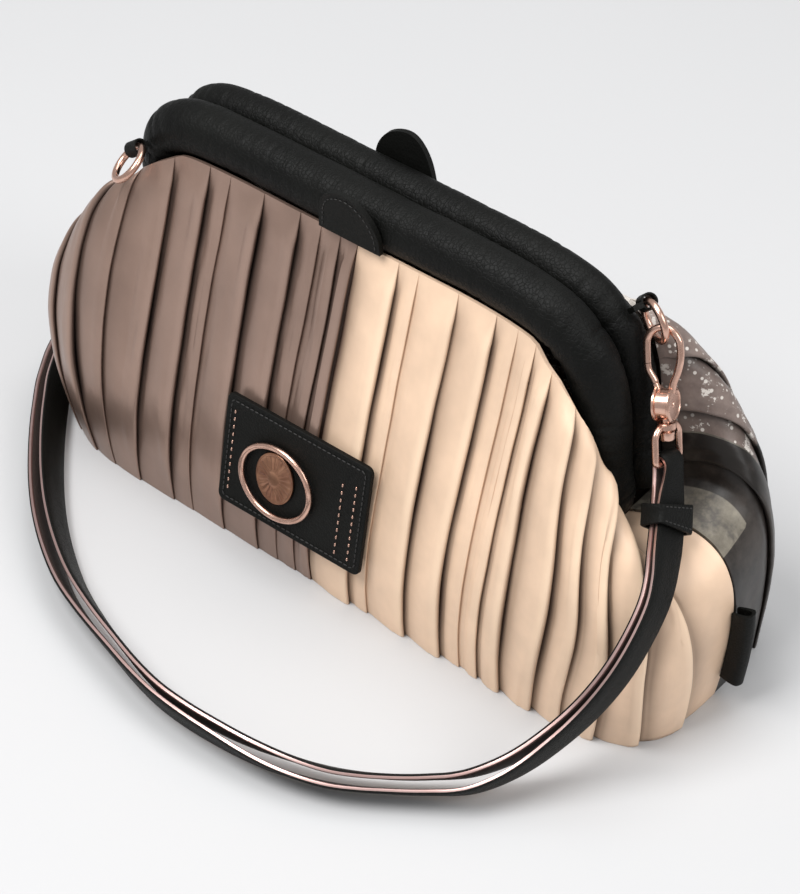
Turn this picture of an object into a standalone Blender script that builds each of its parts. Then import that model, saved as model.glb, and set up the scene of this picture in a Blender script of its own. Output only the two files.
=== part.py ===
"""A pleated leather bowler bag with a padded frame mouth and a doubled strap laid round its front.

+X is the bag's right end, -Y its front and +Z up. The origin is on the floor, under the middle of the mouth.
Lengths are in millimetres and become metres where a mesh is made.
"""
import bpy
import bmesh
from math import cos, pi, radians, sin, sqrt
from mathutils import Matrix, Vector

MM = 0.001
CLEAR = 0.3            # gap between pieces that touch on the real bag

# The mouth: two padded rolls on a bowed frame
FRAME_RIGHT = 119.0    # from the middle to the right leg, and to the left one
FRAME_LEFT = 103.0
FRAME_TOP = 162.0      # height of the front roll's middle along the top
LEG_END = 78.0         # height where the legs stop
ROLL_WIDE = 10.4       # half depth of the front roll, front to back
ROLL_TALL = 11.0       # half thickness of the front roll, across its run
BACK_ROLL_WIDE = 8.6
BACK_ROLL_TALL = 9.6
BACK_ROLL_DROP = 1.5   # the back roll lies this much lower
ROLL_SECTIONS = 24
ROLL_SIDES = 10

# The leather walls
WALL = 1.6             # thickness of the pleated leather
PLEAT = 3.2            # height of a deep pleat's fold above the wall
FOLD = 1.0             # half width of a crease
BASE_HALF_DEPTH = 50.0
RIGHT_REACH = 166.0    # from the middle to the right end of the base
LEFT_REACH = 152.0
BILLOW = 56.0          # how strongly the leather billows out round the ends
BASE_THICK = 2.5
STRAIGHT = 95.0        # half length over which the pleats hang straight down

# Patch, finger tabs, label
PATCH_LONG = 74.0
PATCH_HIGH = 51.0
PATCH_THICK = 2.0
PATCH_CENTRE_X = -0.8
PATCH_CENTRE_Z = 50.0
RING_LONG = 19.0       # half axes of the oval ring on the patch
RING_HIGH = 17.0
RING_WIRE = 1.3
RING_SHIFT = -7.5      # the ring's middle from the patch's, along X and upwards
RING_DROP = -3.0
MEDAL_SHIFT = -8.5
MEDAL_RISE = -1.5
MEDAL_LONG = 9.6
MEDAL_HIGH = 11.6
MEDAL_THICK = 1.6
TAB_WIDE = 30.0
TAB_HIGH = 22.0
TAB_THICK = 2.2
TAB_LEAN = 4.0         # how far a finger tab's tip stands out from the roll
FRONT_TAB_X = 4.0
BACK_TAB_X = -3.0
LABEL_LONG = 20.0
LABEL_PROUD = 9.0
LABEL_THICK = 1.2

# Metal fittings
RING_RADIUS = 7.9      # to the middle of the wire
RING_THICK = 1.5       # radius of the ring's wire
TUBE_LENGTH = 7.4
TUBE_BORE = 2.5
TUBE_WALL = 0.8
TAIL_LEFT = 0.9
TAIL_RIGHT = 3.6
TAIL_THICK = 2.3
EYE_WIDE = 6.6         # half width of the hook's eye, to the middle of its wire
EYE_WIRE = 1.5
EYE_LENGTH = 22.6      # from the eye's top to the drum's rim
EYE_HANG = 5.2         # from the top of the eye's wire to the ring's wire in it, middle to middle
GATE_SPLIT = 14.0      # how far down the eye the gate begins
DRUM_RADIUS = 6.8
DRUM_THICK = 7.4
DRUM_GROOVE = 1.0
POST_RADIUS = 1.9
POST_LENGTH = 3.8
HEAD_RADIUS = 3.1
HEAD_THICK = 3.4
LOOP_INNER = 11.0
LOOP_LENGTH = 14.0
LOOP_WIRE = 1.4
COLLAR_RADIUS = 3.75
COLLAR_THICK = 2.6

# Strap
STRAP_WIDE = 15.0
STRAP_THICK = 2.4
STRAP_NARROW = 9.4     # where it turns round a loop
KEEPER_TALL = 10.0
KEEPER_WALL = 1.6

# Half of the frame's bow, from its middle to a leg's end: shares of the distance to the leg and of the rise above LEG_END
RIGHT_BOW = ((0.0, 1.0), (0.25, 1.0), (0.48, 1.0), (0.655, 0.982), (0.786, 0.94), (0.874, 0.85), (0.92, 0.774),
             (0.966, 0.577), (0.983, 0.262), (1.02, 0.0))
LEFT_BOW = ((0.0, 1.0), (0.28, 1.0), (0.55, 1.0), (0.775, 0.985), (0.885, 0.945), (0.95, 0.87), (0.978, 0.76),
            (0.987, 0.57), (0.995, 0.26), (1.02, 0.0))

# Pleats, from the left side seam to the right one: where the crease is, as a share of half the mouth's edge,
# and the height of the fold beside it as a share of PLEAT
FRONT_PLEATS = ((-1.0, 0.3), (-0.90, 0.6), (-0.80, 0.8), (-0.70, 0.8), (-0.615, 1.0), (-0.545, 0.5), (-0.455, 1.0),
                (-0.355, 1.0), (-0.30, 0.4), (-0.212, 1.0), (-0.118, 1.0), (-0.0636, 0.4), (-0.015, 0.6),
                (0.028, 0.9), (0.126, 1.0), (0.174, 0.4), (0.267, 1.0), (0.356, 1.0), (0.406, 0.4), (0.452, 0.6),
                (0.51, 1.0), (0.585, 1.0), (0.65, 0.7), (0.72, 0.9), (0.80, 0.8), (0.89, 0.9), (1.0, 0.3))
CENTRE_SEAM = 0.028
BACK_PLEATS = ((-1.0, 0.3), (-0.87, 0.8), (-0.75, 0.6), (-0.64, 1.0), (-0.52, 0.5), (-0.42, 1.0), (-0.30, 0.5),
               (-0.19, 1.0), (-0.07, 0.5), (0.04, 1.0), (0.17, 0.5), (0.28, 1.0), (0.39, 0.5), (0.50, 1.0),
               (0.62, 0.8), (0.73, 1.0), (0.85, 0.8), (1.0, 0.3))
BAND = ((0.0, 0.10), (0.30, 0.60), (0.64, 0.90), (1.0, 1.0))   # one pleat's rise from crease to fold
BACK_BAND = ((0.0, 0.10), (0.45, 0.80), (1.0, 1.0))
# Where, on the way to a leg's end, the mouth's edge passes from under the roll to its outer side
TUCKED = {"front right": (0.50, 0.86), "back right": (0.44, 0.68), "left": (0.50, 0.76)}
# How the leather leaves the mouth's edge and settles on the base round an end. A row is the way round the end, 0 where
# the pleats stop hanging straight and 1 at the side seam; then outward along X, outward along Y and upward, in shares
# of BILLOW, first where it leaves and then where it settles.
ENDS = {
    "front right": ((0.0, 0.0, 0.21, -0.90, 0.0, 0.11, 0.80), (0.2, 0.14, 0.25, -0.55, 0.14, 0.14, 0.80),
                    (0.4, 0.24, 0.20, -0.34, 0.12, 0.14, 0.82), (0.7, 0.46, 0.12, -0.04, 0.20, 0.12, 0.96),
                    (1.0, 0.86, 0.0, 0.32, 0.21, 0.0, 1.22)),
    "back right": ((0.0, 0.0, 0.21, -0.90, 0.0, 0.11, 0.80), (0.1, 0.14, 0.32, -0.10, 0.06, 0.13, 0.86),
                   (0.2, 0.33, 0.32, 0.14, 0.12, 0.14, 0.95), (0.4, 0.58, 0.25, 0.40, 0.12, 0.14, 1.06),
                   (0.7, 0.72, 0.14, 0.50, 0.08, 0.09, 1.14), (1.0, 0.86, 0.0, 0.32, 0.21, 0.0, 1.22)),
    "left": ((0.0, 0.0, 0.21, -0.90, 0.0, 0.11, 0.80), (0.1, 0.14, 0.25, -0.25, 0.10, 0.13, 0.85),
             (0.2, 0.36, 0.21, 0.11, 0.20, 0.14, 0.92), (0.4, 0.61, 0.14, 0.22, 0.30, 0.14, 1.00),
             (0.7, 0.72, 0.10, 0.22, 0.20, 0.12, 1.10), (1.0, 0.75, 0.0, 0.18, 0.16, 0.0, 1.10)),
}
# A finger tab's outline: shares of its half width and of its height
TONGUE = ((-1.0, 0.04), (-0.99, 0.30), (-0.92, 0.58), (-0.70, 0.82), (-0.35, 0.96), (0.05, 1.0), (0.40, 0.90),
          (0.72, 0.66), (0.93, 0.34), (1.0, 0.04))
ROWS = (0.0, 0.06, 0.18, 0.35, 0.54, 0.74, 0.90, 1.0)

# The strap's route from the snap hook to its far end: x as a share of ROUTE_LONG, y of BASE_HALF_DEPTH, height of
# LEG_END, gap between the two layers, and the lean of the upper edge as x, y, z
ROUTE = (
    (0.790, -0.01, 1.338, 1.0, (-0.15, -0.90, 0.30)),
    (0.861, -0.25, 1.167, 0.5, (-0.15, -0.86, 0.45)),
    (0.910, -0.52, 1.074, 0.5, (-0.15, -0.78, 0.50)),
    (0.941, -0.77, 0.940, 0.7, (-0.10, -0.70, 0.60)),
    (0.936, -1.09, 0.705, 0.8, (-0.05, -0.60, 0.70)),
    (0.902, -1.34, 0.487, 1.0, (0.00, -0.60, 0.75)),
    (0.857, -1.61, 0.321, 1.6, (0.05, -0.62, 0.76)),
    (0.809, -1.85, 0.205, 2.6, (0.10, -0.66, 0.74)),
    (0.753, -2.09, 0.141, 3.4, (0.10, -0.70, 0.70)),
    (0.690, -2.26, 0.115, 3.0, (0.05, -0.73, 0.69)),
    (0.610, -2.46, 0.105, 2.6, (0.00, -0.74, 0.68)),
    (0.506, -2.68, 0.105, 3.0, (0.00, -0.72, 0.70)),
    (0.381, -2.82, 0.108, 3.2, (0.00, -0.60, 0.80)),
    (0.230, -2.89, 0.113, 2.0, (-0.05, -0.44, 0.90)),
    (0.052, -2.88, 0.113, 1.2, (-0.10, -0.36, 0.93)),
    (-0.131, -2.72, 0.113, 1.6, (-0.18, -0.34, 0.92)),
    (-0.351, -2.44, 0.113, 3.0, (-0.26, -0.36, 0.90)),
    (-0.547, -1.99, 0.113, 3.4, (-0.36, -0.36, 0.86)),
    (-0.706, -1.47, 0.113, 3.2, (-0.45, -0.32, 0.83)),
    (-0.827, -0.99, 0.113, 3.0, (-0.50, -0.26, 0.82)),
    (-0.898, -0.66, 0.113, 2.8, (-0.50, -0.20, 0.84)),
    (-0.962, -0.23, 0.113, 2.4, (-0.42, -0.05, 0.90)),
    (-0.968, 0.36, 0.113, 1.6, (-0.32, 0.08, 0.94)),
    (-0.913, 0.92, 0.113, 1.2, (-0.20, 0.16, 0.96)),
    (-0.814, 1.36, 0.118, 1.0, (-0.08, 0.14, 0.98)),
    (-0.674, 1.57, 0.127, 0.8, (0.00, 0.08, 0.99)),
    (-0.547, 1.64, 0.129, 0.5, (0.00, 0.00, 1.00)),
    (-0.459, 1.65, 0.129, 1.0, (0.00, 0.00, 1.00)),
)
STEPS_PER_ROUTE_POINT = 2
ROUTE_LONG = 172.0      # the length, in millimetres, that the route's x shares are of


def clear_scene():
    for item in list(bpy.data.objects):
        bpy.data.objects.remove(item)


def leather(name, colour, rough, metallic=0.0):
    """A plain Principled material in the piece's own colour."""
    material = bpy.data.materials.new(name)
    material.use_nodes = True
    shader = material.node_tree.nodes["Principled BSDF"]
    shader.inputs["Base Color"].default_value = (*colour, 1.0)
    shader.inputs["Roughness"].default_value = rough
    shader.inputs["Metallic"].default_value = metallic
    return material


def mix(a, b, share):
    return a + (b - a) * share


def smooth_step(value):
    value = min(1.0, max(0.0, value))
    return value * value * (3 - 2 * value)


def between(rows, place):
    """The row at a place, for rows that begin with theirs."""
    for low, high in zip(rows, rows[1:]):
        if place <= high[0]:
            share = smooth_step((place - low[0]) / (high[0] - low[0])) * 0.4 + (place - low[0]) / (high[0] - low[0]) * 0.6
            return [mix(a, b, share) for a, b in zip(low, high)]
    return list(rows[-1])


def through(points, steps):
    """A smooth curve through vectors of any length, with the given number of steps for each span."""
    out = []
    last = len(points) - 1
    for i in range(last):
        p0, p1, p2, p3 = (points[max(i - 1, 0)], points[i], points[i + 1], points[min(i + 2, last)])
        for k in range(steps):
            t = k / steps
            out.append([0.5 * ((2 * b) + (c - a) * t + (2 * a - 5 * b + 4 * c - d) * t * t
                               + (3 * b - a - 3 * c + d) * t ** 3) for a, b, c, d in zip(p0, p1, p2, p3)])
    out.append(list(points[last]))
    return out


class Line:
    """A polyline that is read by the share of its length."""

    def __init__(self, points):
        self.points = [Vector(p) for p in points]
        self.marks = [0.0]
        for a, b in zip(self.points, self.points[1:]):
            self.marks.append(self.marks[-1] + (b - a).length)
        self.length = self.marks[-1]

    def at(self, share):
        want = min(1.0, max(0.0, share)) * self.length
        for i in range(1, len(self.marks)):
            if want <= self.marks[i] or i == len(self.marks) - 1:
                span = self.marks[i] - self.marks[i - 1]
                return self.points[i - 1].lerp(self.points[i], (want - self.marks[i - 1]) / span)


def add_solid(name, points, faces, material, sharp=35):
    """One named object from points in millimetres, with its faces turned outwards."""
    mesh = bpy.data.meshes.new(name)
    mesh.from_pydata([tuple(p) for p in points], [], faces)
    mesh.transform(Matrix.Scale(MM, 4))
    work = bmesh.new()
    work.from_mesh(mesh)
    bmesh.ops.recalc_face_normals(work, faces=work.faces)
    work.to_mesh(mesh)
    work.free()
    mesh.shade_smooth()
    mesh.set_sharp_from_angle(angle=radians(sharp))
    mesh.materials.append(material)
    item = bpy.data.objects.new(name, mesh)
    bpy.context.scene.collection.objects.link(item)
    return item


def loft(rings, closed=False):
    """Points and faces of a skin over rings of equal count; an open run of rings gets end caps."""
    count = len(rings[0])
    points = [p for ring in rings for p in ring]
    faces = []
    spans = len(rings) if closed else len(rings) - 1
    for i in range(spans):
        here = i * count
        there = ((i + 1) % len(rings)) * count
        for j in range(count):
            k = (j + 1) % count
            faces.append((here + j, here + k, there + k, there + j))
    if not closed:
        faces.append(tuple(range(count)))
        faces.append(tuple(range(len(points) - 1, len(points) - 1 - count, -1)))
    return points, faces


def shell(outer, inner):
    """Points and faces of a wall between two grids of equal size, with its four rims."""
    rows, columns = len(outer), len(outer[0])
    points = [p for row in outer for p in row] + [p for row in inner for p in row]
    back = rows * columns
    faces = []
    for i in range(rows - 1):
        for j in range(columns - 1):
            a, b, c, d = i * columns + j, i * columns + j + 1, (i + 1) * columns + j + 1, (i + 1) * columns + j
            faces.append((a, b, c, d))
            faces.append((back + d, back + c, back + b, back + a))
    edge = [j for j in range(columns)]
    edge += [i * columns + columns - 1 for i in range(1, rows)]
    edge += [(rows - 1) * columns + j for j in range(columns - 2, -1, -1)]
    edge += [i * columns for i in range(rows - 2, 0, -1)]
    for a, b in zip(edge, edge[1:] + edge[:1]):
        faces.append((b, a, back + a, back + b))
    return points, faces


def frame_about(along, hint):
    """Two unit vectors square to a direction, the first as near to the hint as can be."""
    along = along.normalized()
    first = (hint - along * hint.dot(along)).normalized()
    return first, along.cross(first).normalized()


def tube_rings(path, radius, sides, hint, closed=False):
    """Round sections along a path, which keep their turn from the hint."""
    rings = []
    last = len(path) - 1
    for i, middle in enumerate(path):
        before = path[i - 1] if (i or closed) else path[i]
        after = path[(i + 1) % len(path)] if (i < last or closed) else path[i]
        first, second = frame_about(after - before, hint)
        rings.append([middle + (first * cos(2 * pi * k / sides) + second * sin(2 * pi * k / sides)) * radius
                      for k in range(sides)])
    return rings


def turned(profile, start, axis, hint, sides):
    """Rings of a shape turned about an axis, from rows of distance along it and radius."""
    axis = axis.normalized()
    first, second = frame_about(axis, hint)
    return [[start + axis * along + (first * cos(2 * pi * k / sides) + second * sin(2 * pi * k / sides)) * radius
             for k in range(sides)] for along, radius in profile]


def combine(target, tool, operation):
    """A Boolean that stays live on the target; its tool is a guide only."""
    tool.hide_render = True
    tool.display_type = "WIRE"
    step = target.modifiers.new(operation.title(), "BOOLEAN")
    step.operation = operation
    step.object = tool
    step.solver = "EXACT"


def frame_half(top, way):
    """Half of the frame's bow in the XZ plane, from the middle to the end of the right (1) or left (-1) leg."""
    reach, bow = (FRAME_RIGHT, RIGHT_BOW) if way > 0 else (FRAME_LEFT, LEFT_BOW)
    return Line(through([(way * reach * x, 0.0, LEG_END + (top - LEG_END) * rise) for x, rise in bow], 8))


def frame_at(line, share):
    """The middle of a roll, its outward direction and its run, for a share of the way to the leg's end."""
    step = 0.01
    run = (line.at(share + step) - line.at(share - step)).normalized()
    outward = Vector((-run.z, 0.0, run.x))
    return line.at(share), outward * (1 if line.points[-1].x > 0 else -1), run


def roll_sizes(side):
    """Half depth, half thickness and the height of the roll's middle."""
    if side < 0:
        return ROLL_WIDE, ROLL_TALL, FRAME_TOP
    return BACK_ROLL_WIDE, BACK_ROLL_TALL, FRAME_TOP - BACK_ROLL_DROP


def beside_roll(side, way, share, across, proud):
    """A place beside a roll: across and proud are shares of its half depth and of its half thickness."""
    wide, tall, top = roll_sizes(side)
    middle, out, _ = frame_at(frame_half(top, way), share)
    return middle + Vector((0, side * (wide * (1 + across) + CLEAR / 2), 0)) + out * (tall * proud)


def roll(name, side, material):
    """A padded roll: an oval section swept along the frame, with rounded ends."""
    wide, tall, top = roll_sizes(side)
    rings = []
    for way in (-1, 1):
        line = frame_half(top, way)
        tip = tall / line.length
        shares = [i / ROLL_SECTIONS for i in range(ROLL_SECTIONS) if i / ROLL_SECTIONS < 1 - 0.7 * tip]
        shares += [1 - 0.45 * tip, 1 - 0.12 * tip, 1.0]
        half = []
        for share in shares:
            middle, out, _ = frame_at(line, share)
            size = mix(0.45, 1.0, sqrt(1 - (1 - min(1.0, (1 - share) / tip)) ** 2))
            centre = middle + Vector((0, side * (wide + CLEAR / 2), 0))
            half.append([centre + Vector((0, side * wide * size * cos(a), 0)) + out * (tall * size * sin(a))
                         for a in [2 * pi * k / ROLL_SIDES for k in range(ROLL_SIDES)]])
        rings += half[:0:-1] if way < 0 else half
    points, faces = loft(rings)
    return add_solid(name, points, faces, material)


def end_name(side, way):
    return "left" if way < 0 else "front right" if side < 0 else "back right"


class Wall:
    """The smooth leather wall of one side of the bag, under its pleats, from the mouth's edge down to the base."""

    def __init__(self, side):
        self.side = side
        self.edges = {way: self.mouth_edge(way) for way in (-1, 1)}
        self.ends = {-1: Line(self.base_end(-1, LEFT_REACH, 2.3)), 1: Line(self.base_end(1, RIGHT_REACH, 4.0))}
        self.turns = {way: self.share_where_straight_ends(way) for way in (-1, 1)}

    def mouth_edge(self, way):
        """From the middle along the roll's lower outer side, down a leg, and in under its end to the side seam."""
        wide, tall, top = roll_sizes(self.side)
        line = frame_half(top, way)
        half = []
        beside = WALL + CLEAR * 1.4      # the leather stands this much farther off beside a leg
        reach = wide * (1 + cos(radians(28))) + CLEAR * 3 + beside
        low, high = TUCKED[end_name(self.side, way)]
        for i in range(61):
            share = i / 60
            middle, out, _ = frame_at(line, share)
            under = radians(mix(46, -28, smooth_step((share - low) / (high - low))))
            off = beside * smooth_step((share - low) / 0.1)
            y = wide + (wide + off) * cos(under) + CLEAR * 3
            half.append(middle + Vector((0, self.side * y, 0)) - out * ((tall + CLEAR * 2 + off) * sin(under)))
        end = line.at(1.0)
        last_x = half[-1].x
        drop = 3 * CLEAR + 0.75 * tall
        for i in range(1, 13):
            turn = pi / 2 * i / 12
            y = mix(CLEAR / 2, reach, cos(turn))
            half.append(Vector((mix(last_x, end.x + 2.0 * way, sin(turn)), self.side * y,
                                end.z - drop * sin(turn))))
        return Line(half)

    def base_end(self, way, reach, power):
        """The base's outline from where the pleats stop hanging straight to the end's middle."""
        out = []
        for i in range(41):
            turn = pi / 2 * i / 40
            x = way * (STRAIGHT + (reach - STRAIGHT) * sin(turn) ** (2 / power))
            out.append((x, self.side * max(CLEAR / 2, BASE_HALF_DEPTH * cos(turn) ** (2 / power)), 0.0))
        return out

    def share_where_straight_ends(self, way):
        for i in range(1000):
            if abs(self.edges[way].at(i / 1000).x) >= STRAIGHT:
                return i / 1000
        return 0.5

    def at(self, share, down):
        """A point of the wall: share from -1 at the left seam to 1, down from 0 at the mouth to 1 at the base."""
        side = self.side
        way = 1 if share > 0 else -1
        top = self.edges[way].at(abs(share))
        straight = self.turns[way]
        past = max(0.0, (abs(share) - straight) / (1 - straight))
        foot = self.ends[way].at(past) if past > 0 else Vector((top.x, side * BASE_HALF_DEPTH, 0.0))
        row = between(ENDS[end_name(side, way)], past)
        leave = Vector((way * row[1], side * row[2], row[3])) * BILLOW
        settle = Vector((way * row[4], side * row[5], row[6])) * BILLOW
        a, b, c, d = top, top + leave, foot + settle, foot
        up = 1 - down
        point = a * up ** 3 + b * (3 * up * up * down) + c * (3 * up * down * down) + d * down ** 3
        if side * point.y < CLEAR / 2:
            point.y = side * CLEAR / 2
        return point

    def outward(self, share, down):
        step = 0.004
        across = self.at(min(1.0, share + step), down) - self.at(max(-1.0, share - step), down)
        fall = self.at(share, min(1.0, down + step)) - self.at(share, max(0.0, down - step))
        return (across.cross(fall) * self.side).normalized()

    def column(self, share, lift, foot):
        """The inner and outer points of one column of rows, with a fold of the given height."""
        out = self.outward(share, 0.0)
        inner, outer = [], []
        for down in ROWS:
            out = (self.outward(share, down) + out * 0.5).normalized()
            middle = self.at(share, down)
            point = middle + out * (WALL + PLEAT * lift * fade(down, foot))
            point.z = max(point.z, 0.0)
            point.y = self.side * max(self.side * point.y, CLEAR / 2)
            inner.append(middle)
            outer.append(point)
        return inner, outer


def pleat_columns(wall, pleats, band, start, end):
    """Columns of share and fold height between two creases, so that each pleat rises to its fold and drops."""
    chosen = [row for row in pleats if start <= row[0] <= end]
    columns = []
    for (a, _), (b, height) in zip(chosen, chosen[1:]):
        half = wall.edges[1 if b > 0 else -1].length
        near, far = a + FOLD / half, b - FOLD / half
        for share, rise in band:
            columns.append((mix(near, far, share), rise * height))
    first, last = columns[0], columns[-1]
    columns[0] = (start + (CLEAR / half / 2 if start > -1 else 0.0), first[1])
    columns[-1] = (end - (CLEAR / half / 2 if end < 1 else 0.0), last[1])
    return columns


def fade(down, foot):
    """How much of a pleat's height is left: stitched flat at the mouth, and softer at the foot."""
    return smooth_step(down / 0.12 + 0.15) * mix(1.0, foot, smooth_step((down - 0.7) / 0.3))


def pleated(name, wall, pleats, band, start, end, foot, material):
    columns = pleat_columns(wall, pleats, band, start, end)
    made = [wall.column(share, lift, foot) for share, lift in columns]
    inner = [[column[0][i] for column in made] for i in range(len(ROWS))]
    outer = [[column[1][i] for column in made] for i in range(len(ROWS))]
    points, faces = shell(outer, inner)
    return add_solid(name, points, faces, material, 50)


def base_panel(front, back, material):
    """The flat bottom, inside the feet of the front and back walls."""
    outline = []
    for wall, order in ((front, 1), (back, -1)):
        for i in range(-14, 15):
            point = wall.at(order * i / 14, 1.0)
            outline.append(Vector((point.x, point.y, 0.0)))
    middle = Vector(((RIGHT_REACH - LEFT_REACH) / 2, 0, 0))
    ring = []
    for point in outline:
        inward = (middle - point)
        inward.x *= 0.35
        ring.append(point + inward.normalized() * (CLEAR * 1.6))
    rings = [[Vector((p.x, p.y, z)) for p in ring] for z in (0.0, BASE_THICK)]
    kept = [j for j in range(len(ring)) if (ring[j] - ring[j - 1]).length > 0.4]
    rings = [[one[j] for j in kept] for one in rings]
    points, faces = loft(rings)
    return add_solid("base_panel", points, faces, material)


def panel_plane(wall, low, high):
    """The lean of the wall at the middle: its up direction and outward direction between two heights."""
    steps = [wall.at(0.0, i / 60) for i in range(61)]
    bottom = min(steps, key=lambda p: abs(p.z - low))
    top = min(steps, key=lambda p: abs(p.z - high))
    up = (top - bottom).normalized()
    up.x = 0.0
    up.normalize()
    return up, Vector((1, 0, 0)).cross(up)


def patch_frame(front):
    """The corner where the patch lies: its centre on the tops of the pleats, its up and outward directions."""
    up, out = panel_plane(front, PATCH_CENTRE_Z - PATCH_HIGH / 2, PATCH_CENTRE_Z + PATCH_HIGH / 2)
    half = front.edges[1].length
    highest = None
    centre = None
    for i in range(-6, 7):
        share = (PATCH_CENTRE_X + i / 6 * PATCH_LONG * 0.52) / half
        for j in range(31):
            down = j / 30
            point = front.at(share, down) + out * (WALL + PLEAT)
            if abs(point.z - PATCH_CENTRE_Z) > PATCH_HIGH * 0.56:
                continue
            reach = point.dot(out)
            highest = reach if highest is None else max(highest, reach)
            if centre is None or abs(point.z - PATCH_CENTRE_Z) < abs(centre.z - PATCH_CENTRE_Z):
                centre = point
    centre = Vector((PATCH_CENTRE_X, centre.y, PATCH_CENTRE_Z))
    centre += out * (highest + CLEAR - centre.dot(out))
    return centre, up, out


def rounded_outline(long, high, radius, steps=3):
    """Corner-rounded rectangle as pairs, counter-clockwise from the lower right."""
    out = []
    for cx, cy, start in ((1, -1, -90), (1, 1, 0), (-1, 1, 90), (-1, -1, 180)):
        for i in range(steps + 1):
            turn = radians(start + 90 * i / steps)
            out.append((cx * (long / 2 - radius) + radius * cos(turn), cy * (high / 2 - radius) + radius * sin(turn)))
    return out


def slab(name, outline, centre, right, up, out, thick, material, bevel=0.4):
    """A flat piece from an outline of pairs, with a small chamfer round its front face."""
    def ring(height, shrink):
        points = []
        for x, y in outline:
            length = sqrt(x * x + y * y)
            keep = 1 - shrink / length
            points.append(centre + right * (x * keep) + up * (y * keep) + out * height)
        return points
    points, faces = loft([ring(0, 0), ring(thick - bevel, 0), ring(thick, bevel)])
    return add_solid(name, points, faces, material)


def patch_pieces(front, black, gold, bronze):
    centre, up, out = patch_frame(front)
    right = Vector((1, 0, 0))
    slab("patch", rounded_outline(PATCH_LONG, PATCH_HIGH, 3.0), centre, right, up, out, PATCH_THICK, black)
    face = centre + out * (PATCH_THICK + CLEAR) + right * RING_SHIFT + up * RING_DROP
    path = [face + right * ((RING_LONG - RING_WIRE) * cos(a)) + up * ((RING_HIGH - RING_WIRE) * sin(a))
            + out * RING_WIRE for a in [2 * pi * i / 30 for i in range(30)]]
    points, faces = loft(tube_rings(path, RING_WIRE, 6, out, closed=True), closed=True)
    add_solid("patch_ring", points, faces, gold)
    face += right * (MEDAL_SHIFT - RING_SHIFT) + up * (MEDAL_RISE - RING_DROP)
    rings = []
    for height, size in ((0.0, 1.0), (0.5, 1.0), (MEDAL_THICK * 0.75, 0.86), (MEDAL_THICK, 0.5)):
        rings.append([face + right * (MEDAL_LONG * size * cos(a)) + up * (MEDAL_HIGH * size * sin(a)) + out * height
                      for a in [2 * pi * i / 24 for i in range(24)]])
    points, faces = loft(rings)
    add_solid("patch_medallion", points, faces, bronze)


def tongue(name, side, middle_x, black):
    """A finger tab: a rounded tongue of leather that stands up against the outer side of a roll."""
    wide, tall, top = roll_sizes(side)
    foot = top - 0.55 * tall
    rows = 4
    grids = []
    for thick in (TAB_THICK, 0.0):
        grid = []
        for i in range(rows + 1):
            row = []
            for across, rise in TONGUE:
                here = rise * i / rows
                y = 2 * wide + CLEAR * 2 + thick + TAB_LEAN * max(0.0, here - 0.25) ** 1.5
                row.append(Vector((middle_x + across * TAB_WIDE / 2, side * y, foot + here * TAB_HIGH)))
            grid.append(row)
        grids.append(grid)
    points, faces = shell(*grids)
    return add_solid(name, points, faces, black)


def circle_path(centre, first, second, radius, count):
    return [centre + (first * cos(a) + second * sin(a)) * radius for a in [2 * pi * i / count for i in range(count)]]


def ring_and_tab(suffix, hold, run, normal, inward, tail, black, gold):
    """A wire ring that runs through a short leather tube, whose tail is sewn down beside the roll.

    hold is the middle of the tube, run its direction, normal square to the ring's plane, inward and tail the tail's
    way and length.
    """
    run = run.normalized()
    normal = (normal - run * normal.dot(run)).normalized()
    away = run.cross(normal).normalized()
    if away.z > 0:
        away = -away
    sag = RING_RADIUS - sqrt(RING_RADIUS ** 2 - (TUBE_LENGTH / 2) ** 2)
    centre = hold + away * (RING_RADIUS - sag / 2)
    path = circle_path(centre, -away, run, RING_RADIUS, 18)
    points, faces = loft(tube_rings(path, RING_THICK, 7, normal, closed=True), closed=True)
    add_solid("ring_" + suffix, points, faces, gold)

    toward, other = frame_about(run, inward)
    sides = 12
    loops = []
    for end in (-0.5, 0.5):
        for radius in (TUBE_BORE + TUBE_WALL, TUBE_BORE):
            loops.append([hold + run * (TUBE_LENGTH * end) + (toward * cos(a) + other * sin(a)) * radius
                          for a in [2 * pi * k / sides for k in range(sides)]])
    points, faces = loft([loops[0], loops[2], loops[3], loops[1]], closed=True)
    tab = add_solid("ring_tab_" + suffix, points, faces, black)
    half = TUBE_LENGTH / 2
    near, far = TUBE_BORE + TUBE_WALL / 2, TUBE_BORE + TUBE_WALL + tail
    corner = [hold + run * along + other * across + toward * reach
              for along in (-half, half) for across in (-TAIL_THICK / 2, TAIL_THICK / 2) for reach in (near, far)]
    box = [(0, 1, 3, 2), (4, 6, 7, 5), (0, 4, 5, 1), (2, 3, 7, 6), (0, 2, 6, 4), (1, 5, 7, 3)]
    combine(tab, add_solid("guide_tail_" + suffix, corner, box, black), "UNION")
    return centre, away


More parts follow.
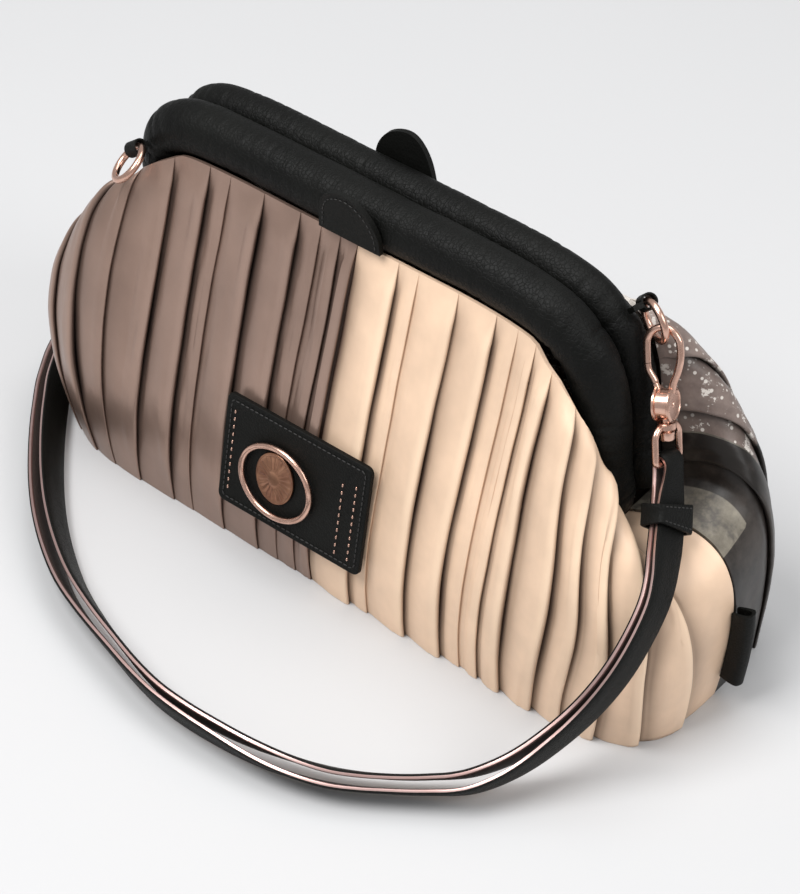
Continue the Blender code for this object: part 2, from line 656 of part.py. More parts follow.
class Hook:
    """The snap hook's own directions: down its length, along its drum's axis and square to both."""

    def __init__(self, top, down, drum, loop_across):
        self.top = top
        self.down = down.normalized()
        self.drum, self.face = frame_about(self.down, drum)
        self.across, self.thin = frame_about(self.down, loop_across)
        self.drum_middle = EYE_LENGTH + DRUM_RADIUS
        self.post_start = EYE_LENGTH + 2 * DRUM_RADIUS
        self.loop_top = self.post_start + CLEAR + COLLAR_THICK / 2
        self.loop_end = self.loop_top + LOOP_LENGTH

    def at(self, down, drum=0.0, face=0.0):
        return self.top + self.down * down + self.drum * drum + self.face * face

    def eye_path(self, gated):
        """The wire from inside the drum's front half, up round the eye, to the split or back to the drum."""
        rows = [(EYE_LENGTH + 2.0, 0.40), (EYE_LENGTH - 1.5, 0.52), (EYE_LENGTH - 6.0, 0.80), (EYE_LENGTH - 11.0, 0.98)]
        path = [(down, share * EYE_WIDE) for down, share in rows]
        count = 8
        for i in range(count):
            turn = pi * (i + 0.5) / count
            path.append((EYE_WIDE * 1.15 * (1 - sin(turn)), EYE_WIDE * cos(turn)))
        if gated:
            path.append((GATE_SPLIT - CLEAR / 2, -EYE_WIDE))
        else:
            path += [(down, -share * EYE_WIDE) for down, share in reversed(rows)]
        return [self.at(down, drum) for down, drum in path]


def hook_pieces(hook, gold):
    """The hook's body, its sprung gate, and the loop that turns on its post."""
    eye, faces = loft(tube_rings(hook.eye_path(True), EYE_WIRE, 8, hook.face))
    body = add_solid("hook_body", eye, faces, gold)
    half = DRUM_THICK / 2
    rim = 0.16 * DRUM_THICK
    profile = [(-half, DRUM_RADIUS * 0.9), (-half + 0.5, DRUM_RADIUS), (-half + rim, DRUM_RADIUS),
               (-half + rim + 0.4, DRUM_RADIUS - DRUM_GROOVE), (half - rim - 0.4, DRUM_RADIUS - DRUM_GROOVE),
               (half - rim, DRUM_RADIUS), (half - 0.5, DRUM_RADIUS), (half, DRUM_RADIUS * 0.9)]
    points, faces = loft(turned(profile, hook.at(hook.drum_middle), hook.drum, hook.down, 24))
    combine(body, add_solid("guide_drum", points, faces, gold), "UNION")
    head = POST_LENGTH + HEAD_THICK
    profile = [(-1.5, POST_RADIUS), (POST_LENGTH, POST_RADIUS), (POST_LENGTH, HEAD_RADIUS),
               (head - 0.4, HEAD_RADIUS), (head, HEAD_RADIUS * 0.8)]
    points, faces = loft(turned(profile, hook.at(hook.post_start), hook.down, hook.across, 14))
    combine(body, add_solid("guide_post", points, faces, gold), "UNION")

    foot = EYE_LENGTH - EYE_WIRE - CLEAR - 0.35
    path = [hook.at(GATE_SPLIT + CLEAR / 2, -EYE_WIDE), hook.at(mix(GATE_SPLIT, foot, 0.45), -EYE_WIDE * 0.93),
            hook.at(foot, -EYE_WIDE * 0.62)]
    rings = tube_rings(path, EYE_WIRE * 0.94, 8, hook.face)
    end = hook.at(foot, -EYE_WIDE * 0.62)
    points, faces = loft(rings + [[end + (p - end) * 0.6 + hook.down * (EYE_WIRE * 0.7) for p in rings[-1]]])
    add_solid("hook_gate", points, faces, gold)
    return end


def loop_pieces(hook, gold):
    """The D-shaped loop, with a bored collar that turns on the hook's post."""
    half = LOOP_INNER / 2 + LOOP_WIRE
    outline = []
    for cx, cy, start in ((1, 1, 90), (1, 0, 0), (-1, 0, -90), (-1, 1, -180)):
        radius = 4.3 if cy else 1.8
        for i in range(4):
            turn = radians(start - 90 * i / 3)
            outline.append((cx * (half - radius) + radius * cos(turn),
                            (radius if cy else LOOP_LENGTH - radius) - radius * sin(turn)))
    path = [hook.at(hook.loop_top + down) + hook.across * across for across, down in outline]
    points, faces = loft(tube_rings(path, LOOP_WIRE, 8, hook.thin, closed=True), closed=True)
    loop = add_solid("swivel_loop", points, faces, gold)
    profile = [(-COLLAR_THICK / 2, COLLAR_RADIUS), (COLLAR_THICK / 2, COLLAR_RADIUS)]
    points, faces = loft(turned(profile, hook.at(hook.loop_top), hook.down, hook.across, 18))
    combine(loop, add_solid("guide_collar", points, faces, gold), "UNION")
    profile = [(-COLLAR_THICK, POST_RADIUS + CLEAR), (COLLAR_THICK, POST_RADIUS + CLEAR)]
    points, faces = loft(turned(profile, hook.at(hook.loop_top), hook.down, hook.thin, 14))
    combine(loop, add_solid("guide_bore", points, faces, gold), "DIFFERENCE")


def route_stations(hook):
    """Smooth stations along the strap's middle: place, gap between the layers and lean of the upper edge."""
    turn_at = hook.at(hook.loop_end)
    rows = []
    for x, y, z, gap, lean in ROUTE:
        rows.append([x * ROUTE_LONG, y * BASE_HALF_DEPTH, z * LEG_END, gap, *lean])
    rows[0][0:3] = list(turn_at)
    rows[0][4:7] = list(-hook.across)
    stations = []
    for row in through(rows, STEPS_PER_ROUTE_POINT):
        stations.append((Vector(row[0:3]), row[3], Vector(row[4:7])))
    return stations


def strap_pieces(hook, black):
    """The doubled band as one closed loop, turned round the swivel loop and round the far hook's loop."""
    stations = route_stations(hook)
    last = len(stations) - 1
    places, outs, leans = [], [], []
    for i, (place, _, lean) in enumerate(stations):
        run = stations[min(i + 1, last)][0] - stations[i - 1][0] if i else hook.down
        up, out = frame_about(run, lean)
        places.append(place)
        leans.append(up)
        outs.append(-out)
    turn_radius = LOOP_WIRE + CLEAR * 1.5 + STRAP_THICK / 2

    def section(middle, out, up, wide):
        """Four corners of the band: out is towards its outer face."""
        return [middle + out * (STRAP_THICK / 2 * a) + up * (wide / 2 * b)
                for a, b in ((1, -1), (1, 1), (-1, 1), (-1, -1))]

    def layer(i, side):
        half_gap = STRAP_THICK / 2 + CLEAR * 0.7 + stations[i][1] / 2
        ends = min(i, last - i)
        near_turn = smooth_step(1 - ends / 1.6)
        offset = mix(half_gap, max(half_gap, turn_radius), near_turn)
        wide = mix(STRAP_WIDE, STRAP_NARROW, smooth_step(1 - ends / 2))
        middle = places[i] + outs[i] * (side * offset)
        lowest = wide / 2 * abs(leans[i].z) + STRAP_THICK / 2 * abs(outs[i].z)
        middle.z = max(middle.z, lowest)
        return section(middle, outs[i] * side, leans[i], wide)

    def turn(i, back, start_side):
        """Half a turn round a loop's bar, from one layer to the other."""
        sections = []
        for k in range(1, 4):
            angle = pi * k / 4
            out = outs[i] * (start_side * cos(angle)) + back * sin(angle)
            middle = places[i] + out * turn_radius
            sections.append(section(middle, out, leans[i], STRAP_NARROW))
        return sections

    start_back = (places[0] - places[1]).normalized()
    end_back = (places[last] - places[last - 1]).normalized()
    start_back = (start_back - leans[0] * start_back.dot(leans[0])).normalized()
    rings = [layer(i, 1) for i in range(last + 1)]
    rings += turn(last, end_back, 1)
    rings += [layer(i, -1) for i in range(last, -1, -1)]
    rings += turn(0, start_back, -1)
    points, faces = loft(rings, closed=True)
    add_solid("strap", points, faces, black)
    keeper("strap_keeper_right", stations, places, outs, leans, 2, black)
    keeper("strap_keeper_far", stations, places, outs, leans, last - 3, black)
    return places[last], end_back, leans[last], outs[last]


def keeper(name, stations, places, outs, leans, i, black):
    """A stitched band round both layers of the strap."""
    thick = STRAP_THICK + CLEAR * 0.7 + stations[i][1] / 2 + CLEAR * 4
    wide = STRAP_WIDE / 2 + CLEAR * 2.5
    loops = {0.0: [], KEEPER_WALL: []}
    for near in (i - 1, i, i + 1):
        share = min(1.0, KEEPER_TALL / 2 / (places[near] - places[i]).length) if near != i else 0.0
        middle, out, up = (line[i].lerp(line[near], share) for line in (places, outs, leans))
        for grow, rings in loops.items():
            rings.append([middle + out * (a * (thick + grow)) + up * (b * (wide + grow))
                          for a, b in ((1, -1), (1, 1), (-1, 1), (-1, -1))])
    points, faces = loft(loops[KEEPER_WALL] + loops[0.0][::-1], closed=True)
    add_solid(name, points, faces, black)


def far_hook(bar, along, up, out, gold):
    """The strap's hidden far end: the same hook, closed and fused in one plain piece, flat on the floor."""
    top = bar + along * (LOOP_LENGTH + 2 * DRUM_RADIUS + EYE_LENGTH + COLLAR_THICK / 2 + CLEAR)
    hook = Hook(top, -along, out, up)
    points, faces = loft(tube_rings(hook.eye_path(False), EYE_WIRE, 8, hook.face))
    body = add_solid("hook_far", points, faces, gold)
    half = DRUM_THICK / 2
    profile = [(-half, DRUM_RADIUS), (half, DRUM_RADIUS)]
    points, faces = loft(turned(profile, hook.at(hook.drum_middle), hook.drum, hook.down, 16))
    combine(body, add_solid("guide_far_drum", points, faces, gold), "UNION")
    profile = [(-1.5, COLLAR_RADIUS), (hook.loop_top - hook.post_start + 3.0, COLLAR_RADIUS)]
    points, faces = loft(turned(profile, hook.at(hook.post_start), hook.down, hook.across, 12))
    combine(body, add_solid("guide_far_post", points, faces, gold), "UNION")
    half = LOOP_INNER / 2 + LOOP_WIRE
    corners = [(half, 1.0), (half, LOOP_LENGTH), (-half, LOOP_LENGTH), (-half, 1.0)]
    path = [hook.at(hook.loop_top + down) + hook.across * across for across, down in corners]
    points, faces = loft(tube_rings(path, LOOP_WIRE, 8, hook.thin, closed=True), closed=True)
    combine(body, add_solid("guide_far_loop", points, faces, gold), "UNION")


def side_label(front, black):
    """A folded leather loop that stands out of the right side seam."""
    rows = 5
    seam = []
    for i in range(rows):
        down = mix(0.70, 0.93, i / (rows - 1))
        point = front.at(1.0, down)
        out = front.outward(1.0, down)
        out.y = 0.0
        out.normalize()
        seam.append((Vector((point.x, 0.0, point.z)), out))
    profile = ((0.0, -0.5), (0.45, -0.62), (0.85, -0.55), (1.0, 0.0), (0.85, 0.55), (0.45, 0.62), (0.0, 0.5))
    fat = 3.0
    rings = []
    for point, out in seam:
        base = point + out * (WALL + PLEAT * 0.3 + CLEAR)
        outline = [base + out * (LABEL_PROUD * a) + Vector((0, fat * b * 1.6, 0)) for a, b in profile]
        inside = [base + out * max(0.0, LABEL_PROUD * a - LABEL_THICK * (1.0 if a else 0.0))
                  + Vector((0, (fat * b * 1.6) * (1 - LABEL_THICK / (fat * 0.8 + 0.3)), 0)) for a, b in profile]
        rings.append((outline, inside))
    outer = [one[0] for one in rings]
    inner = [one[1] for one in rings]
    points, faces = shell(outer, inner)
    add_solid("side_label", points, faces, black)


def main():
    clear_scene()
    taupe = leather("taupe metallic leather", (0.33, 0.25, 0.21), 0.42, 0.35)
    nude = leather("nude leather", (0.80, 0.58, 0.41), 0.5)
    print_leather = leather("printed leather", (0.24, 0.20, 0.18), 0.5)
    black = leather("black grained leather", (0.02, 0.02, 0.019), 0.5)
    gold = leather("rose gold", (0.80, 0.47, 0.36), 0.25, 1.0)
    bronze = leather("bronze", (0.45, 0.24, 0.16), 0.4, 1.0)

    roll("frame_roll_front", -1, black)
    roll("frame_roll_back", 1, black)
    front, back = Wall(-1), Wall(1)
    pleated("front_panel_taupe", front, FRONT_PLEATS, BAND, -1.0, CENTRE_SEAM, 0.25, taupe)
    pleated("front_panel_nude", front, FRONT_PLEATS, BAND, CENTRE_SEAM, 1.0, 0.75, nude)
    pleated("back_panel", back, BACK_PLEATS, BACK_BAND, -1.0, 1.0, 0.5, print_leather)
    base_panel(front, back, black)
    patch_pieces(front, black, gold, bronze)
    tongue("finger_tab_front", -1, FRONT_TAB_X, black)
    tongue("finger_tab_back", 1, BACK_TAB_X, black)

    left_hold = beside_roll(-1, -1, 0.60, 1.45, 0.46)
    ring_and_tab("left", left_hold, Vector((0.78, 0.0, 0.62)), Vector((-0.40, -0.44, 0.80)), Vector((0.3, 0.9, 0.0)),
                 TAIL_LEFT, black, gold)
    right_hold = beside_roll(1, 1, 0.595, 0.50, 1.82)
    centre, away = ring_and_tab("right", right_hold, Vector((0.59, -0.37, 0.72)), Vector((0.41, 0.90, 0.12)),
                                Vector((-0.7, -0.2, -0.7)), TAIL_RIGHT, black, gold)
    down = Vector((0.30, -0.27, -0.915)).normalized()
    hook = Hook(centre + away * RING_RADIUS - down * EYE_HANG, down, Vector((0.90, 0.30, 0.30)),
                Vector((0.18, 0.85, -0.49)))
    hook_pieces(hook, gold)
    loop_pieces(hook, gold)
    bar, along, up, out = strap_pieces(hook, black)
    far_hook(bar, along, up, out, gold)
    side_label(front, black)


main()
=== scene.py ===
# %% [markdown]
# A pleated leather frame bag. Its front is half metallic taupe and half nude leather, laid in knife pleats.
# Its mouth is a pair of padded black rolls, and a doubled strap hangs from a rose-gold snap hook and lies
# round the bag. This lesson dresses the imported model: it loads the solids as a fixed frame, and then makes
# every piece again as a maker would see it.

# %% Load the frame
from math import cos, pi, radians, sin, sqrt

import bmesh
import bpy
import numpy as np
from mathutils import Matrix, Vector, noise


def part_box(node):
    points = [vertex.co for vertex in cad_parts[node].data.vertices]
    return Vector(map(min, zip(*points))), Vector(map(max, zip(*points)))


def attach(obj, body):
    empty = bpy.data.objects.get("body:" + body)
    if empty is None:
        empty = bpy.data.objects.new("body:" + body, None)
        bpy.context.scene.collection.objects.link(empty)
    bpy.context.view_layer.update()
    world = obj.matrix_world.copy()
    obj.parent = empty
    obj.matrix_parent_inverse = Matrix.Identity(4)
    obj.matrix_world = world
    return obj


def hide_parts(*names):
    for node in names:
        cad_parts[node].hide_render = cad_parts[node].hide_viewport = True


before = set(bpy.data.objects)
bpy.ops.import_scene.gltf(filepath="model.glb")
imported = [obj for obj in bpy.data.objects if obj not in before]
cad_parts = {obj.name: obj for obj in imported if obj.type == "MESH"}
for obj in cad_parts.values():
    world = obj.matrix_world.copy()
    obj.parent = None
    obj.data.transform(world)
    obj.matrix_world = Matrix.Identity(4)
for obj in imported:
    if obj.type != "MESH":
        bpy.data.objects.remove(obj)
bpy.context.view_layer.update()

# %% [markdown]
# The camera looks down on the bag from its front right, through a long lens, so parallel edges stay nearly
# parallel. Its place was solved from points of the photograph that lie on known points of the bag. It comes
# first.

# %% Camera
CAMERA_TURN = 39.5            # degrees round the bag, from its front towards its right
CAMERA_TILT = 42.0            # degrees above the floor
CAMERA_PLACE = (0.6191, -0.7396, 0.9011)
CAMERA_LENS = 143.3           # millimetres
SENSOR_WIDTH = 36             # millimetres


def aim(turn, tilt):
    """The direction from the bag towards the camera."""
    a, e = radians(turn), radians(tilt)
    return Vector((sin(a) * cos(e), -cos(a) * cos(e), sin(e)))


def put_in_scene(name, data):
    """A new object in the scene that holds a camera, a light or a mesh."""
    item = bpy.data.objects.new(name, data)
    bpy.context.scene.collection.objects.link(item)
    return item


camera_data = bpy.data.cameras.new("camera")
camera_data.sensor_fit = "HORIZONTAL"
camera_data.sensor_width = SENSOR_WIDTH
camera_data.lens = CAMERA_LENS
camera_data.clip_start = 0.05
camera = put_in_scene("camera", camera_data)
camera.location = CAMERA_PLACE
camera.rotation_mode = "QUATERNION"
camera.rotation_quaternion = (-aim(CAMERA_TURN, CAMERA_TILT)).to_track_quat("-Z", "Y")
bpy.context.scene.camera = camera
print("camera stands", round(Vector(CAMERA_PLACE).length, 2), "metres away")

# %% [markdown]
# A leather bag shows its pleats by light that comes from one side and fills in softly from the other. One
# wide panel stands high at the left, a weaker one at the right end, a third above the back, and a pale sky
# fills the rest. A wide panel gives broad soft highlights on satin leather, where a small one would make
# hard spots. The Standard view shows the paper floor as white as it is lit.

# %% Lights and sky
LIGHTS = (                    # name, turn and tilt in degrees, distance and size in metres, watts
    ("key_panel", -20, 62, 1.5, 0.9, 20.0),
    ("end_panel", 95, 40, 1.4, 0.8, 6.0),
    ("top_panel", 180, 75, 1.4, 1.0, 7.0))
BAG_MIDDLE = Vector((0.01, 0, 0.07))
SKY_COLOUR = (0.98, 0.99, 1.0, 1.0)
SKY_STRENGTH = 0.46

for name, turn, tilt, distance, size, watts in LIGHTS:
    panel = bpy.data.lights.new(name, "AREA")
    panel.shape = "DISK"
    panel.size = size
    panel.energy = watts
    item = put_in_scene(name, panel)
    toward = aim(turn, tilt)
    item.location = BAG_MIDDLE + toward * distance
    item.rotation_euler = (-toward).to_track_quat("-Z", "Y").to_euler()

bpy.context.scene.view_settings.view_transform = "Standard"
world = bpy.data.worlds.new("studio")
bpy.context.scene.world = world
world.use_nodes = True
background = world.node_tree.nodes["Background"]
background.inputs["Color"].default_value = SKY_COLOUR
background.inputs["Strength"].default_value = SKY_STRENGTH
print("light panels", [row[0] for row in LIGHTS])

# %% [markdown]
# A material is arithmetic on numbers that vary over the surface. Writing that as plain Python is shorter
# than wiring nodes by hand: the class below wraps a socket, so that a sum of two of them adds a Math node.
# A second class holds a material and adds any other node from its type, its settings and its inputs.

# %% Shader arithmetic
def plug(tree, value, slot):
    """A link from another term, or a plain value."""
    if isinstance(value, Term):
        tree.links.new(value.socket, slot)
    elif hasattr(value, "__len__") and slot.type == "RGBA" and len(value) == 3:
        slot.default_value = (*value, 1.0)
    else:
        slot.default_value = value


class Term:
    """A socket that takes part in sums."""

    def __init__(self, tree, socket):
        self.tree, self.socket = tree, socket

    def math(self, operation, other=0.0, swap=False):
        node = self.tree.nodes.new("ShaderNodeMath")
        node.operation = operation
        pair = (other, self) if swap else (self, other)
        for value, slot in zip(pair, node.inputs):
            plug(self.tree, value, slot)
        return Term(self.tree, node.outputs[0])

    def __add__(self, other):
        return self.math("ADD", other)

    def __radd__(self, other):
        return self.math("ADD", other, True)

    def __sub__(self, other):
        return self.math("SUBTRACT", other)

    def __rsub__(self, other):
        return self.math("SUBTRACT", other, True)

    def __mul__(self, other):
        return self.math("MULTIPLY", other)

    def __rmul__(self, other):
        return self.math("MULTIPLY", other, True)

    def __truediv__(self, other):
        return self.math("DIVIDE", other)

    def __pow__(self, other):
        return self.math("POWER", other)

    def clamp(self):
        return self.math("MAXIMUM", 0.0).math("MINIMUM", 1.0)

    def over(self, low, high):
        """0 below low, 1 above high, straight between."""
        return ((self - low) / (high - low)).clamp()


# %% [markdown]
# A finish starts as a new material with its Principled shader. Textures read Object coordinates, so that a
# grain has the same size on every piece. Two fields of cells and noise give the fine grain that smooth
# leathers share.

# %% Finishes
class Finish:
    """A material with a Principled shader."""

    def __init__(self, name, **values):
        self.material = bpy.data.materials.new(name)
        self.material.use_nodes = True
        self.tree = self.material.node_tree
        self.shader = self.tree.nodes["Principled BSDF"]
        self.set(**values)

    def set(self, **values):
        for key, value in values.items():
            plug(self.tree, value, self.shader.inputs[key.replace("_", " ")])

    def node(self, kind, settings=None, inputs=None, out=0):
        made = self.tree.nodes.new(kind)
        for key, value in (settings or {}).items():
            setattr(made, key, value)
        for key, value in (inputs or {}).items():
            plug(self.tree, value, made.inputs[key])
        return Term(self.tree, made.outputs[out])

    def place(self):
        return self.node("ShaderNodeTexCoord", out="Object")

    def attribute(self, name):
        return self.node("ShaderNodeAttribute", {"attribute_name": name}, out="Fac")

    def noise(self, scale, detail=3.0, rough=0.5, at=None):
        return self.node("ShaderNodeTexNoise", None,
                         {"Vector": at or self.place(), "Scale": scale, "Detail": detail, "Roughness": rough})

    def cells(self, scale, feature="F1"):
        return self.node("ShaderNodeTexVoronoi", {"feature": feature}, {"Vector": self.place(), "Scale": scale})

    def stretched(self, scales):
        return self.node("ShaderNodeMapping", None, {"Vector": self.place(), "Scale": scales})

    def blend(self, share, a, b):
        return self.node("ShaderNodeMix", {"data_type": "RGBA"}, {0: share, 6: a, 7: b}, out=2)

    def bump(self, height, strength, distance, under=None):
        inputs = {"Height": height, "Strength": strength, "Distance": distance}
        if under:
            inputs["Normal"] = under
        return self.node("ShaderNodeBump", None, inputs)

    def fine_grain(self, pore_roughness, under=None):
        """The soft pebbles and pores of smooth leather, over another relief."""
        pores = self.noise(1500.0, 2.0, pore_roughness)
        return self.bump(self.cells(620.0, "SMOOTH_F1") + pores * 0.6, 0.10, 0.0002, under)


# %% [markdown]
# The two front leathers differ in one thing: the taupe one carries a thin metallic foil, the nude one is
# plain. Both are smooth and fine-grained. Their colour carries painted light: a painted highlight makes them
# paler on the proud folds and painted shade makes them dark in the creases. So both read two attributes that
# the pleats write: crease is the painted shade, 1 at the bottom of a crease, and fold is 1 on the proud edge
# of a fold, where the highlight is painted.

# %% Front leathers
def pleated_leather(name, colour, crease_shade_colour, rough, metallic, sheen):
    finish = Finish(name, Metallic=metallic, Specular_IOR_Level=0.4, Coat_Weight=sheen, Coat_Roughness=0.35)
    crease = finish.attribute("crease")
    fold = finish.attribute("fold")
    cloud = finish.noise(22.0, 4.0, 0.6)
    # The paler colour is a painted highlight, laid on the proud folds below.
    paler_tone = tuple(min(1.0, c * 1.16 + 0.02) for c in colour)
    shaded = tuple(c * 0.80 for c in colour)
    tone = finish.blend(cloud.over(0.35, 0.65), shaded, colour)
    # Painted highlight: the proud fold edges are blended towards the paler colour.
    tone = finish.blend(fold * 0.55, tone, paler_tone)
    # Painted shade: the creases are blended towards the dark crease colour.
    tone = finish.blend((crease ** 0.7).clamp(), tone, crease_shade_colour)
    drag = finish.noise(1.0, 3.0, 0.55, at=finish.stretched((260.0, 260.0, 45.0)))
    normal = finish.fine_grain(0.6, finish.bump(drag, 0.16, 0.0006))
    finish.set(Base_Color=tone, Roughness=(rough + cloud * 0.12 - 0.06 + crease * 0.3).clamp(), Normal=normal)
    return finish.material


# The second colour of each leather is its painted crease shade.
TAUPE = pleated_leather("taupe foil leather", (0.350, 0.236, 0.188), (0.012, 0.006, 0.005), 0.36, 0.60, 0.06)
NUDE = pleated_leather("nude leather", (0.890, 0.640, 0.455), (0.040, 0.013, 0.007), 0.46, 0.0, 0.03)
print("front leathers", TAUPE.name, "and", NUDE.name)

# %% [markdown]
# The back is cut from printed leather: a marbled taupe ground with cream splatter, dark pieces and grey
# marbled ones. The print is generic, so noise and cells can make it: noise cut at a level becomes blots,
# round cells become drops, and the middle level of a coarse noise becomes dark veins. The pieces are chosen
# by an attribute named tone, which is 0 on the ground, a half on grey marble and 1 on the dark pieces.

# %% Printed leather
def printed_leather():
    finish = Finish("printed leather", Specular_IOR_Level=0.35, Coat_Weight=0.06, Coat_Roughness=0.3)
    crease = finish.attribute("crease")
    fold = finish.attribute("fold")
    tone = finish.attribute("tone")
    marble = finish.noise(38.0, 8.0, 0.68)
    between_veins = (finish.noise(16.0, 6.0, 0.72) - 0.5).math("ABSOLUTE").over(0.0, 0.055)
    blots = finish.noise(64.0, 6.0, 0.78).over(0.555, 0.575)
    drops = 1.0 - finish.cells(300.0).over(0.20, 0.25)
    rain = finish.noise(26.0, 2.0, 0.5).over(0.44, 0.52)
    splatter = (blots + drops * rain).clamp()
    ground = finish.blend(marble.over(0.35, 0.68), (0.120, 0.086, 0.074), (0.300, 0.236, 0.208))
    ground = finish.blend(splatter, ground, (0.640, 0.590, 0.540))
    dark = finish.blend(marble.over(0.42, 0.66), (0.010, 0.0075, 0.006), (0.060, 0.049, 0.042))
    grey = finish.blend(marble.over(0.34, 0.66), (0.055, 0.046, 0.036), (0.300, 0.268, 0.212))
    grey = finish.blend((1.0 - between_veins) * 0.8, grey, (0.070, 0.062, 0.055))
    colour = finish.blend(tone.over(0.2, 0.3), ground, grey)
    colour = finish.blend(tone.over(0.7, 0.8), colour, dark)
    # Painted shade: the creases are blended towards near black.
    colour = finish.blend((crease ** 0.8).clamp(), colour, (0.012, 0.009, 0.008))
    finish.set(Base_Color=colour, Roughness=(0.36 + marble * 0.16 - fold * 0.04).clamp(),
               Normal=finish.fine_grain(0.5))
    return finish.material


PRINTED = printed_leather()
print("back leather", PRINTED.name)

# %% [markdown]
# The black leather of the rolls, tabs, patch and strap is softly grained, with fine wrinkles where it is
# pulled round a bend. Cells give the pebbles and the valleys between them, stretched noise the wrinkles,
# and the roughness rises in the valleys. The strap's inner side is a plain brown lining.

# %% Black leather and lining
def black_leather(name, colour, paler_tone, grain_scale, wrinkle_depth, wrinkle_scales):
    finish = Finish(name, Specular_IOR_Level=0.15)
    pebbles = finish.cells(grain_scale, "SMOOTH_F1")
    valleys = finish.cells(grain_scale, "DISTANCE_TO_EDGE").over(0.0, 0.12)
    cloud = finish.noise(30.0, 3.0)
    pulls = finish.noise(1.0, 3.0, 0.6, at=finish.stretched(wrinkle_scales))
    grain = valleys - pebbles * 0.4 + finish.noise(1900.0, 2.0) * 0.35
    normal = finish.bump(grain, 0.34, 0.00028, finish.bump(pulls, wrinkle_depth, 0.0012))
    finish.set(Base_Color=finish.blend(cloud.over(0.3, 0.8), colour, paler_tone),
               Roughness=(0.50 + (1.0 - valleys) * 0.14 + cloud * 0.10 - 0.05).clamp(), Normal=normal)
    return finish.material


ROLL_BLACK = black_leather("black roll leather", (0.0018, 0.0019, 0.0016), (0.0048, 0.0050, 0.0041), 560.0,
                           0.55, (340.0, 90.0, 120.0))
BLACK = black_leather("black grained leather", (0.0026, 0.0027, 0.0022), (0.0056, 0.0058, 0.0048), 760.0,
                      0.12, (120.0, 120.0, 120.0))


def lining_cloth():
    finish = Finish("brown lining")
    weave = finish.noise(1.0, 1.0, 0.4, at=finish.stretched((1800.0, 1800.0, 1800.0)))
    finish.set(Base_Color=finish.blend(weave.over(0.3, 0.7), (0.030, 0.019, 0.016), (0.058, 0.038, 0.032)),
               Roughness=(0.58 + weave * 0.2).clamp(), Normal=finish.bump(weave, 0.3, 0.0002))
    return finish.material


LINING = lining_cloth()
print("black leathers", ROLL_BLACK.name, "and", BLACK.name)

# %% [markdown]
# The fittings are plated in rose gold. Polished plating is smooth but never quite even, so a faint cloud
# moves its roughness, and hairline scratches catch the light. The medallion is darker bronze, and the
# strap's edges are painted in a softer metallic rose.

# %% Metals
def plated(name, colour, worn, rough, scratch):
    finish = Finish(name, Metallic=1.0)
    cloud = finish.noise(160.0, 3.0)
    lines = finish.noise(1.0, 2.0, 0.7, at=finish.stretched((2600.0, 300.0, 900.0)))
    finish.set(Base_Color=finish.blend(cloud.over(0.35, 0.75), colour, worn),
               Roughness=(rough + cloud * 0.14 + lines * 0.08 - 0.10).clamp(),
               Normal=finish.bump(lines, scratch, 0.0001))
    return finish.material


GOLD = plated("rose gold", (0.76, 0.49, 0.39), (0.58, 0.35, 0.27), 0.25, 0.06)
BRONZE = plated("stamped bronze", (0.40, 0.21, 0.13), (0.22, 0.10, 0.065), 0.30, 0.06)
EDGE_PAINT = plated("rose edge paint", (0.66, 0.46, 0.43), (0.54, 0.36, 0.33), 0.34, 0.10)
print("metals", GOLD.name, BRONZE.name, EDGE_PAINT.name)

# %% [markdown]
# Black thread is twisted, so a fine noise breaks up its light. The bag lies on white paper, which only has
# to catch its shadow: a large square just under it, which rides on no body, so that it is no part of the bag.

# %% Thread and floor
THREAD_COLOUR = (0.030, 0.029, 0.028)
FLOOR_COLOUR = (0.57, 0.57, 0.575)
FLOOR_REACH = 6.0
FLOOR_LEVEL = -0.0002


def black_thread():
    finish = Finish("black thread")
    twist = finish.noise(2600.0, 1.0)
    between_strands = tuple(c * 0.6 for c in THREAD_COLOUR)
    finish.set(Base_Color=finish.blend(twist.over(0.3, 0.7), between_strands, THREAD_COLOUR),
               Roughness=twist * 0.2 + 0.5, Normal=finish.bump(twist, 0.4, 0.0002))
    return finish.material


THREAD = black_thread()
paper = Finish("paper floor", Roughness=0.9, Specular_IOR_Level=0.1)
fibres = paper.noise(300.0, 2.0)
paper.set(Base_Color=paper.blend(fibres, tuple(c * 0.995 for c in FLOOR_COLOUR), FLOOR_COLOUR))
floor_mesh = bpy.data.meshes.new("floor")
floor_corners = ((-1, -1), (1, -1), (1, 1), (-1, 1))
floor_mesh.from_pydata([(x * FLOOR_REACH, y * FLOOR_REACH, FLOOR_LEVEL) for x, y in floor_corners],
                       [], [(0, 1, 2, 3)])
floor_mesh.materials.append(paper.material)
put_in_scene("floor", floor_mesh)
print("finishes", len([m for m in bpy.data.materials if m.use_nodes]))

# %% [markdown]
# All shapes below are worked out in millimetres on smooth curves and turned into metres when a mesh is
# made. Every finished piece is told which body it rides on, and which solids it stands for.

# %% Meshes
MM = 0.001


def plain_mesh(name, points, faces, finishes):
    """A mesh with outward faces, from points in millimetres."""
    mesh = bpy.data.meshes.new(name)
    mesh.from_pydata((np.asarray(points, dtype=float) * MM).tolist(), [], faces)
    for finish in finishes:
        mesh.materials.append(finish)
    work = bmesh.new()
    work.from_mesh(mesh)
    bmesh.ops.recalc_face_normals(work, faces=work.faces)
    work.to_mesh(mesh)
    work.free()
    return mesh


def settle_piece(item, body, stands_for):
    """Tells the frame which body a piece rides on, and which solids it stands for."""
    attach(item, body)
    if stands_for:
        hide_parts(*stands_for)


